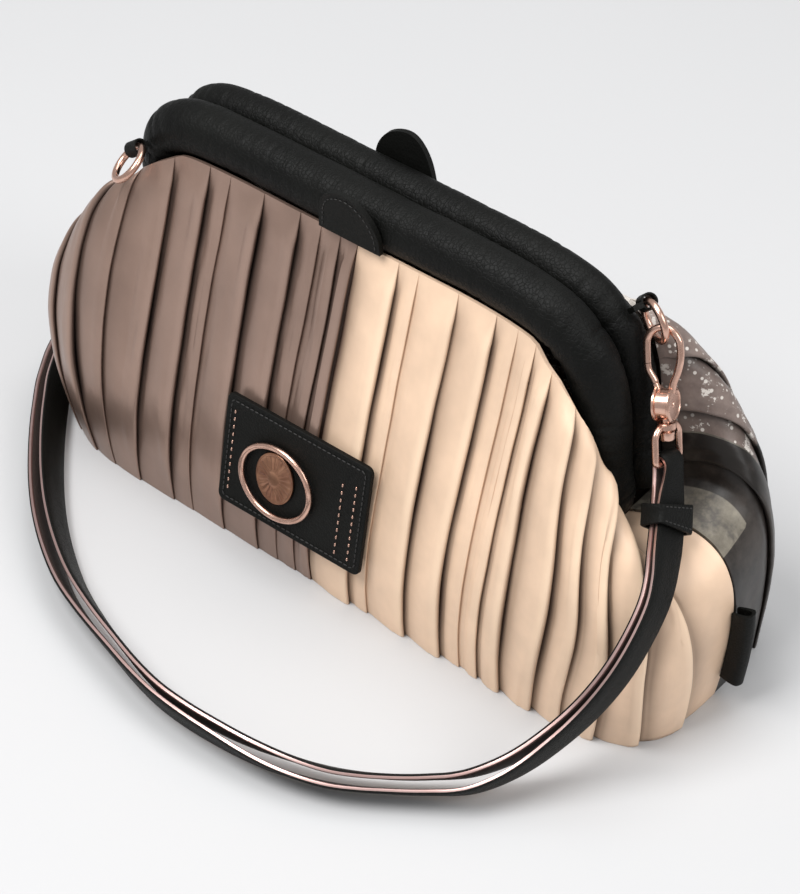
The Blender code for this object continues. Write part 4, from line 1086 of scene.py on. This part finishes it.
def patch_frame():
    """The patch's centre on the tops of the pleats, its up and outward directions, as the solid has them."""
    steps = front.drop(0.0, np.arange(61) / 60)
    low, high = PATCH_CENTRE_Z - PATCH_HIGH / 2, PATCH_CENTRE_Z + PATCH_HIGH / 2
    bottom, top = (Vector(min(steps, key=lambda p: abs(p[2] - z))) for z in (low, high))
    up = top - bottom
    up.x = 0.0
    up.normalize()
    out = Vector((1, 0, 0)).cross(up)
    lowest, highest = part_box("patch")
    centre = Vector((PATCH_CENTRE_X, (lowest.y + highest.y) / 2 / MM, PATCH_CENTRE_Z))
    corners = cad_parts["patch"].data.vertices
    face = min(v.co.dot(out) for v in corners) / MM
    return centre + out * (face - centre.dot(out)), up, out


def rounded_outline(long, high, radius, steps):
    out = []
    for cx, cy, start in ((1, -1, -90), (1, 1, 0), (-1, 1, 90), (-1, -1, 180)):
        for i in range(steps + 1):
            turn = radians(start + 90 * i / steps)
            out.append((cx * (long / 2 - radius) + radius * cos(turn),
                        cy * (high / 2 - radius) + radius * sin(turn)))
    return out


patch_centre, patch_up, patch_out = patch_frame()
patch_right = Vector((1, 0, 0))


def on_patch(x, y, height=PATCH_THICK):
    return patch_centre + patch_right * x + patch_up * y + patch_out * height


def plate():
    """The leather of the patch, with a rounded front rim."""
    edge = PATCH_THICK - PATCH_BEVEL
    steps = [(0.0, 0.0), (edge, 0.0)]
    for turn in (radians(30), radians(60), radians(90)):
        steps.append((edge + PATCH_BEVEL * sin(turn), PATCH_BEVEL * (1 - cos(turn))))
    steps.append((PATCH_THICK - PATCH_DISH, PATCH_BEVEL + 1.0))
    rings = []
    for height, shrink in steps:
        ring = []
        for x, y in rounded_outline(PATCH_LONG, PATCH_HIGH, 3.0, 6):
            keep = 1 - shrink / sqrt(x * x + y * y)
            ring.append(tuple(on_patch(x * keep, y * keep, height)))
        rings.append(ring)
    points, faces = skin(rings)
    return make("patch_plate", points, faces, [BLACK], ["patch"])


plate()
seam = rounded_outline(PATCH_LONG - SEAM_INSET, PATCH_HIGH - SEAM_INSET, 1.6, 4)
seam = [on_patch(x, y, PATCH_THICK + ON_TOP) for x, y in seam]
stitches("patch_stitches", [seam], 2.5, 2.0, 0.55, closed=True)
print("patch stands at", [round(v, 1) for v in patch_centre])

# %% [markdown]
# On the plate lie an oval ring of rose gold and a bronze medallion pressed with rays. The medallion is a
# polar grid whose height follows its rays. Small foil lozenges run in columns beside it.

# %% Ring, medallion and lozenges on the patch
RING_LONG, RING_HIGH, RING_WIRE, RING_SHIFT, RING_DROP = 19.0, 17.0, 1.3, -7.5, -3.0
MEDAL_SHIFT, MEDAL_RISE, MEDAL_LONG, MEDAL_HIGH, MEDAL_THICK = -8.5, -1.5, 9.6, 11.6, 1.6
RAYS, RAY_STEPS = 20, 6
# The medallion's rim and its boss, by share of its size, and the rim's heights
MEDAL_RIM = ((1.0, 0.0), (1.0, 0.75), (0.985, 1.0), (0.95, 1.1), (0.91, 1.0), (0.88, 0.75))
MEDAL_BOSS = 0.33
# Each column of foil: its place across the patch, and where it starts and ends
FOIL_COLUMNS = ((-32.2, 18, -18), (24.2, 12, -20), (30.8, 14, -20))

ring_height = PATCH_THICK + CLEAR + RING_WIRE
ring_path = [on_patch(RING_SHIFT + (RING_LONG - RING_WIRE) * cos(a),
                      RING_DROP + (RING_HIGH - RING_WIRE) * sin(a), ring_height) for a in around(120)]
joined("patch_hoop", [wire("hoop", ring_path, RING_WIRE, closed=True)], "bag", "patch_ring")


def medal_height(size, angle):
    """The face inside the rim: rays that rise toward a boss."""
    if size < MEDAL_BOSS:
        return 1.25 + 0.35 * sqrt(max(0.0, 1 - (size / MEDAL_BOSS) ** 2))
    inner = (size - 0.10) / 0.75
    ray = (0.5 + 0.5 * cos(RAYS * angle)) ** 0.8
    dome = 0.45 * sin(pi * min(1.0, max(0.0, 1 - inner)) * 0.5)
    return 0.75 + dome + 0.42 * (ray - 0.6) * min(1.0, inner * 1.6 + 0.1)


def medallion():
    rings = []
    face = [(0.85 - 0.05 * i, None) for i in range(15)] + [(0.06, None)]
    for size, height in list(MEDAL_RIM) + face:
        ring = []
        for a in around(RAYS * RAY_STEPS):
            rise = medal_height(size, a) if height is None else height
            ring.append(tuple(on_patch(MEDAL_SHIFT + MEDAL_LONG * size * cos(a),
                                       MEDAL_RISE + MEDAL_HIGH * size * sin(a),
                                       PATCH_THICK + CLEAR + min(rise, MEDAL_THICK))))
        rings.append(ring)
    points, faces = skin(rings)
    return make("medallion", points, faces, [BRONZE], ["patch_medallion"], sharp=60)


medallion()
columns = [[on_patch(x, y, PATCH_THICK + ON_TOP) for y in ends] for x, *ends in FOIL_COLUMNS]
stitches("foil_lozenges", columns, 3.4, 1.9, 0.9, finish=GOLD)
print("medallion of", RAYS, "rays and", len(columns), "columns of foil")

# %% [markdown]
# Two finger tabs stand up against the rolls, to pull the mouth open. Each is a rounded tongue of doubled
# leather. Its rows rise from the foot to the outline, the face is slightly cushioned, and it leans outward
# towards its top.

# %% Finger tabs
TAB_WIDE, TAB_HIGH, TAB_THICK, TAB_LEAN, FRONT_TAB_X, BACK_TAB_X = 30.0, 22.0, 2.2, 4.0, 4.0, -3.0
TONGUE = ((-1.0, 0.04), (-0.99, 0.30), (-0.92, 0.58), (-0.70, 0.82), (-0.35, 0.96), (0.05, 1.0), (0.40, 0.90),
          (0.72, 0.66), (0.93, 0.34), (1.0, 0.04))
TAB_ROWS, TAB_CUSHION, TAB_SEAM_INSET, TAB_SEAM_RISE = 12, 0.35, 2.0, 0.88


def tab_face(side, here, thick):
    """How far from the middle plane a tab's face lies, at a share of its height."""
    return 2 * roll_sizes(side)[0] + CLEAR * 2 + thick + TAB_LEAN * max(0.0, here - 0.25) ** 1.5


def tongue(which, side, middle_x):
    node = "finger_tab_" + which
    _, tall, top = roll_sizes(side)
    foot = top - 0.55 * tall
    outline = through(TONGUE, 5)
    grids = []
    for thick in (TAB_THICK, 0.0):
        grid = []
        for i in range(TAB_ROWS + 1):
            line = []
            for across, rise in outline:
                here = rise * i / TAB_ROWS
                arch = TAB_CUSHION * sin(pi * min(1.0, here + 0.1)) * (1 - across ** 4) if thick else 0.0
                line.append((middle_x + across * TAB_WIDE / 2, side * tab_face(side, here, thick + arch),
                             foot + here * TAB_HIGH))
            grid.append(line)
        grids.append(np.array(grid))
    points, faces = shell(*grids)
    item = make("tab_" + which, points, faces, [BLACK], [node], sharp=50)
    rim = [(middle_x + across * (TAB_WIDE / 2 - TAB_SEAM_INSET),
            side * tab_face(side, rise * TAB_SEAM_RISE, TAB_THICK + 0.30),
            foot + rise * TAB_SEAM_RISE * TAB_HIGH) for across, rise in outline[2:-2]]
    stitches(node + "_stitches", [rim], 2.4, 1.8, 0.5)
    return item


tabs = [tongue("front", -1, FRONT_TAB_X), tongue("back", 1, BACK_TAB_X)]
print("finger tabs", [item.name for item in tabs])

# %% [markdown]
# Rings of round wire run through short leather tubes beside the rolls. The left one hangs free and can
# swing; the right one holds the snap hook. A ring is a circle for the wire tree, and its tube is a short
# sleeve with a tail.

# %% Rings and their tabs
RING_RADIUS, RING_THICK, TUBE_LENGTH, TUBE_BORE, TUBE_WALL = 7.9, 1.5, 7.4, 2.5, 0.8
TAIL_LEFT, TAIL_RIGHT, TAIL_THICK = 0.9, 3.6, 2.3


def circle(centre, first, second, radius, count):
    return [centre + (first * cos(a) + second * sin(a)) * radius for a in around(count)]


def ring_and_tab(suffix, hold, run, normal, inward, tail, body):
    """A ring and the leather that holds it: run is the tube's direction, normal the ring's."""
    run = run.normalized()
    normal = (normal - run * normal.dot(run)).normalized()
    away = run.cross(normal).normalized()
    if away.z > 0:
        away = -away
    half = TUBE_LENGTH / 2
    sag = RING_RADIUS - sqrt(RING_RADIUS ** 2 - half ** 2)
    centre = hold + away * (RING_RADIUS - sag / 2)
    hoop = wire("hoop", circle(centre, -away, run, RING_RADIUS, 96), RING_THICK, closed=True)
    joined("ring_wire_" + suffix, [hoop], body, "ring_" + suffix)
    toward, other = frame_about(run, inward)
    full, bore = TUBE_BORE + TUBE_WALL, TUBE_BORE
    profile = ((-half + 0.25, full), (half - 0.25, full), (half, full - 0.25), (half, bore + 0.15),
               (half - 0.2, bore), (-half + 0.2, bore), (-half, bore + 0.15), (-half, full - 0.25))
    sleeve = [[tuple(p) for p in circle(hold + run * along, toward, other, radius, 40)]
              for along, radius in profile]
    tube = loose("tube", skin(sleeve, closed=True), BLACK)
    near, far = TUBE_BORE + TUBE_WALL / 2, full + tail
    block = [[tuple(hold + run * along + toward * ((near + far) / 2 + x) + other * y)
              for x, y in rounded_outline(far - near, TAIL_THICK, 0.5, 3)] for along in (-half, half)]
    slab = loose("tail", skin(block), BLACK)
    joined("ring_holder_" + suffix, [tube, slab], "bag", "ring_tab_" + suffix)
    return centre, away


ring_and_tab("left", beside_roll(-1, -1, 0.60, 1.45, 0.46), Vector((0.78, 0.0, 0.62)),
             Vector((-0.40, -0.44, 0.80)), Vector((0.3, 0.9, 0.0)), TAIL_LEFT, "left_ring")
ring_centre, ring_away = ring_and_tab(
    "right", beside_roll(1, 1, 0.595, 0.50, 1.82), Vector((0.59, -0.37, 0.72)),
    Vector((0.41, 0.90, 0.12)), Vector((-0.7, -0.2, -0.7)), TAIL_RIGHT, "bag")
print("right ring's centre", [round(v, 1) for v in ring_centre])

# %% [markdown]
# The snap hook hangs in the right ring. Everything of it is drawn in its own directions: down its length,
# along the drum, and square to both.

# %% The hook's directions
EYE_WIDE, EYE_WIRE, EYE_LENGTH, EYE_HANG, GATE_SPLIT = 6.6, 1.5, 22.6, 5.2, 14.0
DRUM_RADIUS, DRUM_THICK, DRUM_GROOVE = 6.8, 7.4, 1.0
POST_RADIUS, POST_LENGTH, HEAD_RADIUS, HEAD_THICK = 1.9, 3.8, 3.1, 3.4
LOOP_INNER, LOOP_LENGTH, LOOP_WIRE, COLLAR_RADIUS, COLLAR_THICK = 11.0, 14.0, 1.4, 3.75, 2.6
HOOK_DOWN, HOOK_DRUM, HOOK_ACROSS = (0.30, -0.27, -0.915), (0.90, 0.30, 0.30), (0.18, 0.85, -0.49)


class Hook:
    """The snap hook's own directions."""

    def __init__(self, top, down, drum, loop_across):
        self.top = top
        self.down = down.normalized()
        self.drum = frame_about(self.down, drum)[0]
        self.across = frame_about(self.down, loop_across)[0]
        self.drum_middle = EYE_LENGTH + DRUM_RADIUS
        self.post_start = EYE_LENGTH + 2 * DRUM_RADIUS
        self.loop_top = self.post_start + CLEAR + COLLAR_THICK / 2
        self.loop_end = self.loop_top + LOOP_LENGTH

    def at(self, down, drum=0.0):
        return self.top + self.down * down + self.drum * drum


def turned(profile, start, axis, hint, sides):
    """Rings of a shape turned about an axis, from rows of distance along it and radius."""
    axis = axis.normalized()
    first, second = frame_about(axis, hint)
    return [[tuple(p) for p in circle(start + axis * along, first, second, radius, sides)]
            for along, radius in profile]


down = Vector(HOOK_DOWN).normalized()
hook = Hook(ring_centre + ring_away * RING_RADIUS - down * EYE_HANG, down,
            Vector(HOOK_DRUM), Vector(HOOK_ACROSS))
print("hook hangs from", [round(v, 1) for v in hook.top])

# %% [markdown]
# Its eye is one bent wire, open at the left for the gate. Its body is a short drum, and below that stands a
# headed post. The drum's flange is drawn once, by how deep each of its rings lies under the face, and
# mirrored. One face has a raised ring in its middle and the other a rivet.

# %% Eye, drum and post
THIN_EYE, THIN_GATE = 0.95, 0.92       # shares of the solids' wire, so that nothing touches in a swing


def hook_wire(name, path, radius):
    return wire(name, [hook.at(along, across) for along, across in path], radius)


def drum():
    half, rim, full = DRUM_THICK / 2, 0.16 * DRUM_THICK, DRUM_RADIUS
    raised_ring = ((0.35, 0.3), (0.35, 1.3), (0.1, 1.5), (0.1, 1.9), (0.35, 2.1))
    flange = ((0.35, full * 0.80), (0.0, full * 0.86), (0.2, full * 0.94), (0.5, full), (rim, full),
              (rim + 0.15, full - 0.2), (rim + 0.4, full - DRUM_GROOVE))
    rivet = ((0.35, 1.3), (0.1, 1.1), (0.05, 0.3))
    profile = [(inset - half, radius) for inset, radius in raised_ring + flange]
    profile += [(half - inset, radius) for inset, radius in flange[::-1] + rivet]
    return loose("drum", skin(turned(profile, hook.at(hook.drum_middle), hook.drum, hook.down, 72)), GOLD)


def post():
    head = POST_LENGTH + HEAD_THICK
    profile = ((-1.5, POST_RADIUS), (POST_LENGTH, POST_RADIUS), (POST_LENGTH, HEAD_RADIUS - 0.2),
               (POST_LENGTH + 0.2, HEAD_RADIUS), (head - 0.7, HEAD_RADIUS), (head - 0.2, HEAD_RADIUS * 0.9),
               (head, HEAD_RADIUS * 0.7))
    return loose("post", skin(turned(profile, hook.at(hook.post_start), hook.down, hook.across, 40)), GOLD)


eye = [(EYE_LENGTH - up, share * EYE_WIDE)
       for up, share in ((-2.0, 0.40), (1.5, 0.52), (6.0, 0.80), (11.0, 0.98))]
turns = [pi * (i + 0.5) / 8 for i in range(8)]
eye += [(EYE_WIDE * 1.15 * (1 - sin(t)), EYE_WIDE * cos(t)) for t in turns]
eye.append((GATE_SPLIT - CLEAR / 2, -EYE_WIDE))
gate_foot = EYE_LENGTH - EYE_WIRE - CLEAR - 0.35
knuckle = [(EYE_LENGTH + 2.0, -EYE_WIDE * 0.42), (EYE_LENGTH + 0.6, -EYE_WIDE * 0.50),
           (gate_foot + EYE_WIRE * 0.7 + CLEAR, -EYE_WIDE * 0.58)]
hook_frame = joined("hook_frame", [hook_wire("eye", through(eye, 6), EYE_WIRE * THIN_EYE), drum(), post(),
                                   hook_wire("knuckle", knuckle, EYE_WIRE * THIN_EYE)], "hook", "hook_body")
print("hook frame", len(hook_frame.data.polygons), "faces")

# %% [markdown]
# A sprung gate closes the eye's left leg. The post turns in the collar of a D-shaped loop, which holds the
# strap. The loop's wire stops at the collar, so that it doesn't cross the post's bore.

# %% Gate and swivel loop
gate = through([(GATE_SPLIT + CLEAR / 2, -EYE_WIDE), (mix(GATE_SPLIT, gate_foot, 0.45), -EYE_WIDE * 0.93),
                (gate_foot, -EYE_WIDE * 0.62), (gate_foot + EYE_WIRE * 0.6, -EYE_WIDE * 0.60)], 6)
joined("gate_bar", [hook_wire("gate", gate, EYE_WIRE * THIN_GATE)], "gate", "hook_gate")


def d_shape():
    """The loop's path, as rows of across and along."""
    half = LOOP_INNER / 2 + LOOP_WIRE
    out = []
    for cx, cy, start in ((1, 1, 90), (1, 0, 0), (-1, 0, -90), (-1, 1, -180)):
        radius = 4.3 if cy else 1.8
        for i in range(9):
            turn = radians(start - 90 * i / 8)
            along = (radius if cy else LOOP_LENGTH - radius) - radius * sin(turn)
            out.append((cx * (half - radius) + radius * cos(turn), along))
    return out


def collar():
    half, bore = COLLAR_THICK / 2, POST_RADIUS + CLEAR
    profile = ((-half, bore), (-half, COLLAR_RADIUS - 0.3), (-half + 0.3, COLLAR_RADIUS),
               (half - 0.3, COLLAR_RADIUS), (half, COLLAR_RADIUS - 0.3), (half, bore))
    return loose("collar", skin(turned(profile, collar_at, hook.down, hook.across, 48), closed=True), GOLD)


collar_at = hook.at(hook.loop_top)
loop_path = [hook.at(hook.loop_top + along) + hook.across * across for across, along in d_shape()]
open_loop = [p for p in loop_path if (p - collar_at).length > COLLAR_RADIUS - 0.6]
stubs = [collar_at + hook.across * (way * (COLLAR_RADIUS - 0.5)) for way in (1, -1)]
loop = wire("loop", [stubs[0]] + open_loop[1:-1] + [stubs[1]], LOOP_WIRE)
swivel = joined("swivel", [loop, collar()], "bag", "swivel_loop")
print("swivel loop", len(swivel.data.polygons), "faces")

# %% [markdown]
# The strap is a flat band folded back on itself, so two layers run side by side and the whole is one closed
# loop. Each layer shows black leather outwards and over half of its edges, rose paint on the rest of them,
# and brown lining inwards. Its route is the one that the solid follows.

# %% Route of the strap
STRAP_WIDE, STRAP_THICK, STRAP_NARROW, KEEPER_TALL, KEEPER_WALL, ROUTE_LONG = 15.0, 2.4, 9.4, 10.0, 1.6, 172.0
# Place, in shares of the length, the base's half depth and the leg's end; gap; where the width points
ROUTE = (
    (0.790, -0.01, 1.338, 1.0, (-0.15, -0.90, 0.30)), (0.861, -0.25, 1.167, 0.5, (-0.15, -0.86, 0.45)),
    (0.910, -0.52, 1.074, 0.5, (-0.15, -0.78, 0.50)), (0.941, -0.77, 0.940, 0.7, (-0.10, -0.70, 0.60)),
    (0.936, -1.09, 0.705, 0.8, (-0.05, -0.60, 0.70)), (0.902, -1.34, 0.487, 1.0, (0.00, -0.60, 0.75)),
    (0.857, -1.61, 0.321, 1.6, (0.05, -0.62, 0.76)), (0.809, -1.85, 0.205, 2.6, (0.10, -0.66, 0.74)),
    (0.753, -2.09, 0.141, 3.4, (0.10, -0.70, 0.70)), (0.690, -2.26, 0.115, 3.0, (0.05, -0.73, 0.69)),
    (0.610, -2.46, 0.105, 2.6, (0.00, -0.74, 0.68)), (0.506, -2.68, 0.105, 3.0, (0.00, -0.72, 0.70)),
    (0.381, -2.82, 0.108, 3.2, (0.00, -0.60, 0.80)), (0.230, -2.89, 0.113, 2.0, (-0.05, -0.44, 0.90)),
    (0.052, -2.88, 0.113, 1.2, (-0.10, -0.36, 0.93)), (-0.131, -2.72, 0.113, 1.6, (-0.18, -0.34, 0.92)),
    (-0.351, -2.44, 0.113, 3.0, (-0.26, -0.36, 0.90)), (-0.547, -1.99, 0.113, 3.4, (-0.36, -0.36, 0.86)),
    (-0.706, -1.47, 0.113, 3.2, (-0.45, -0.32, 0.83)), (-0.827, -0.99, 0.113, 3.0, (-0.50, -0.26, 0.82)),
    (-0.898, -0.66, 0.113, 2.8, (-0.50, -0.20, 0.84)), (-0.962, -0.23, 0.113, 2.4, (-0.42, -0.05, 0.90)),
    (-0.968, 0.36, 0.113, 1.6, (-0.32, 0.08, 0.94)), (-0.913, 0.92, 0.113, 1.2, (-0.20, 0.16, 0.96)),
    (-0.814, 1.36, 0.118, 1.0, (-0.08, 0.14, 0.98)), (-0.674, 1.57, 0.127, 0.8, (0.00, 0.08, 0.99)),
    (-0.547, 1.64, 0.129, 0.5, (0.00, 0.00, 1.00)), (-0.459, 1.65, 0.129, 1.0, (0.00, 0.00, 1.00)),
)
FINE = 4                       # this many stations for each of the solid's


def strap_stations():
    """Places along the strap, with their width and outward directions and the gap between the layers."""
    rows = [[x * ROUTE_LONG, y * BASE_HALF_DEPTH, z * LEG_END, gap, *lean] for x, y, z, gap, lean in ROUTE]
    rows[0][0:3] = list(hook.at(hook.loop_end))
    rows[0][4:7] = list(-hook.across)
    fine = through(through(rows, 2), FINE)
    places = [Vector(row[0:3]) for row in fine]
    last = len(fine) - 1
    leans, outs = [], []
    for i, row in enumerate(fine):
        run = places[min(i + FINE, last)] - places[max(i - FINE, 0)]
        run = hook.down.lerp(run.normalized(), smooth_step(i / FINE)) if i < FINE else run
        up, out = frame_about(run, Vector(row[4:7]))
        leans.append(up)
        outs.append(-out)
    return places, leans, outs, [row[3] for row in fine]


places, leans, outs, gaps = strap_stations()
last = len(places) - 1
print("strap stations", len(places))

# %% [markdown]
# The band's section is a rounded rectangle with a finish for every side. It is carried along the route in
# one layer, turns round the far loop's bar, comes back in the other layer and turns round the swivel loop's
# bar.

# %% Strap
# Across the thickness, across the width, and the finish of the side that starts here
BAND_SECTION = (
    (1.0, -0.90, 0), (1.05, -0.3, 0), (1.05, 0.3, 0), (1.0, 0.90, 0), (0.72, 0.985, 0), (0.15, 1.0, 1),
    (-0.72, 0.985, 1), (-1.0, 0.90, 2), (-1.0, 0.3, 2), (-1.0, -0.3, 2), (-1.0, -0.90, 1), (-0.72, -0.985, 1),
    (0.15, -1.0, 0), (0.72, -0.985, 0))
TURN_STEPS = 12
turn_radius = LOOP_WIRE + CLEAR * 1.5 + STRAP_THICK / 2


def band_section(middle, out, up, wide):
    return [tuple(middle + out * (STRAP_THICK / 2 * a * 0.97) + up * (wide / 2 * b))
            for a, b, _ in BAND_SECTION]


def strap_layer(i, side):
    half_gap = STRAP_THICK / 2 + CLEAR * 0.7 + gaps[i] / 2
    ends = min(i, last - i) / FINE
    offset = mix(half_gap, max(half_gap, turn_radius), smooth_step(1 - ends / 1.6))
    wide = mix(STRAP_WIDE, STRAP_NARROW, smooth_step(1 - ends / 2))
    middle = places[i] + outs[i] * (side * offset)
    middle.z = max(middle.z, wide / 2 * abs(leans[i].z) + STRAP_THICK / 2 * abs(outs[i].z))
    return band_section(middle, outs[i] * side, leans[i], wide)


def strap_turn(i, behind, side):
    """Half a turn round a loop's bar, from one layer to the other."""
    sections = []
    for k in range(1, TURN_STEPS):
        angle = pi * k / TURN_STEPS
        out = outs[i] * (side * cos(angle)) + behind * sin(angle)
        sections.append(band_section(places[i] + out * turn_radius, out, leans[i], STRAP_NARROW))
    return sections


start_behind = (places[0] - places[FINE]).normalized()
start_behind = (start_behind - leans[0] * start_behind.dot(leans[0])).normalized()
end_behind = (places[last] - places[last - FINE]).normalized()
rings = [strap_layer(i, 1) for i in range(last + 1)] + strap_turn(last, end_behind, 1)
rings += [strap_layer(i, -1) for i in range(last, -1, -1)] + strap_turn(0, start_behind, -1)
points, faces = skin(rings, closed=True)
points[:, 2] = np.maximum(points[:, 2], 0.0)
sides = [row[2] for _ in rings for row in BAND_SECTION]
make("strap_band", points, faces, [BLACK, EDGE_PAINT, LINING], ["strap"],
     sharp=50, sides=sides)
print("strap sections", len(rings))

# %% [markdown]
# A keeper is a small band of leather sewn round both layers of the strap, with a row of stitches near each
# rim. It follows the strap's bend, so it is a wall between two lofted tubes.

# %% Keepers
KEEPER_STATIONS = (-1.0, -0.94, -0.5, 0.0, 0.5, 0.94, 1.0)       # shares of half of its length


def keeper(name, at):
    i = at * FINE
    thick = STRAP_THICK + CLEAR * 0.7 + gaps[i] / 2 + CLEAR * 4
    wide = STRAP_WIDE / 2 + CLEAR * 2.5
    outline = rounded_outline(2, 2, 0.28, 4)
    stations = []
    for along in KEEPER_STATIONS:
        near = i + (FINE if along > 0 else -FINE)
        share = min(1.0, KEEPER_TALL / 2 * abs(along) / (places[near] - places[i]).length)
        stations.append([line[i].lerp(line[near], share) for line in (places, outs, leans)])
    outside, inside = [], []
    for along, (middle, out, up) in zip(KEEPER_STATIONS, stations):
        round_off = 0.25 if abs(along) == 1.0 else 0.0
        for tube, grow in ((outside, KEEPER_WALL - round_off), (inside, 0.15)):
            tube.append([tuple(middle + out * (a * (thick + grow)) + up * (b * (wide + grow)))
                         for a, b in outline])
    points, faces = skin(outside + inside[::-1], closed=True)
    make(name, points, faces, [BLACK], ["strap_" + name], sharp=50)
    rows = []
    for station in (stations[1], stations[5]):
        middle, out, up = (a.lerp(b, 0.22) for a, b in zip(station, stations[3]))
        for face in (-1, 1):
            start = middle + out * (face * (thick + KEEPER_WALL + 0.05))
            rows.append([start + up * (b * wide * 0.86) for b in (-1, 1)])
    stitches("strap_" + name + "_stitches", rows, 2.2, 1.6, 0.5)


keeper_places = {"keeper_right": 2, "keeper_far": last // FINE - 3}
for name, at in keeper_places.items():
    keeper(name, at)
print("keepers at the solid's stations", keeper_places)

# %% [markdown]
# A small leather loop is sewn into the right side seam. It is folded, so its outline is a slim U, swept
# down the seam.

# %% Side label
LABEL_PROUD, LABEL_THICK, LABEL_FAT = 9.0, 1.2, 3.0
LABEL_TOP, LABEL_FOOT, LABEL_ROWS = 0.70, 0.93, 12       # the shares of the way down that it spans
LABEL_U = ((0.0, -0.5), (0.45, -0.62), (0.85, -0.55), (1.0, 0.0), (0.85, 0.55), (0.45, 0.62), (0.0, 0.5))


def side_label():
    outline = through(LABEL_U, 4)
    slimmer = 1 - LABEL_THICK / (LABEL_FAT * 0.8 + 0.3)
    outside, inside = [], []
    for i in range(LABEL_ROWS + 1):
        place = mix(LABEL_TOP, LABEL_FOOT, i / LABEL_ROWS)
        point = front.at(1.0, place)
        out = front.outward(1.0, place)
        out.y = 0.0
        out.normalize()
        base = Vector((point.x, 0.0, point.z)) + out * (WALL + PLEAT * 0.3 + CLEAR)
        outer, inner = [], []
        for a, b in outline:
            across = LABEL_FAT * b * 1.6
            depth = max(0.0, LABEL_PROUD * a - LABEL_THICK * smooth_step(a / 0.3))
            outer.append(tuple(base + out * (LABEL_PROUD * a) + Vector((0, across, 0))))
            inner.append(tuple(base + out * depth + Vector((0, across * slimmer, 0))))
        outside.append(outer)
        inside.append(inner)
    points, faces = shell(np.array(outside), np.array(inside))
    return make("label_loop", points, faces, [BLACK], ["side_label"], sharp=50)


print("side label", len(side_label().data.polygons), "faces")
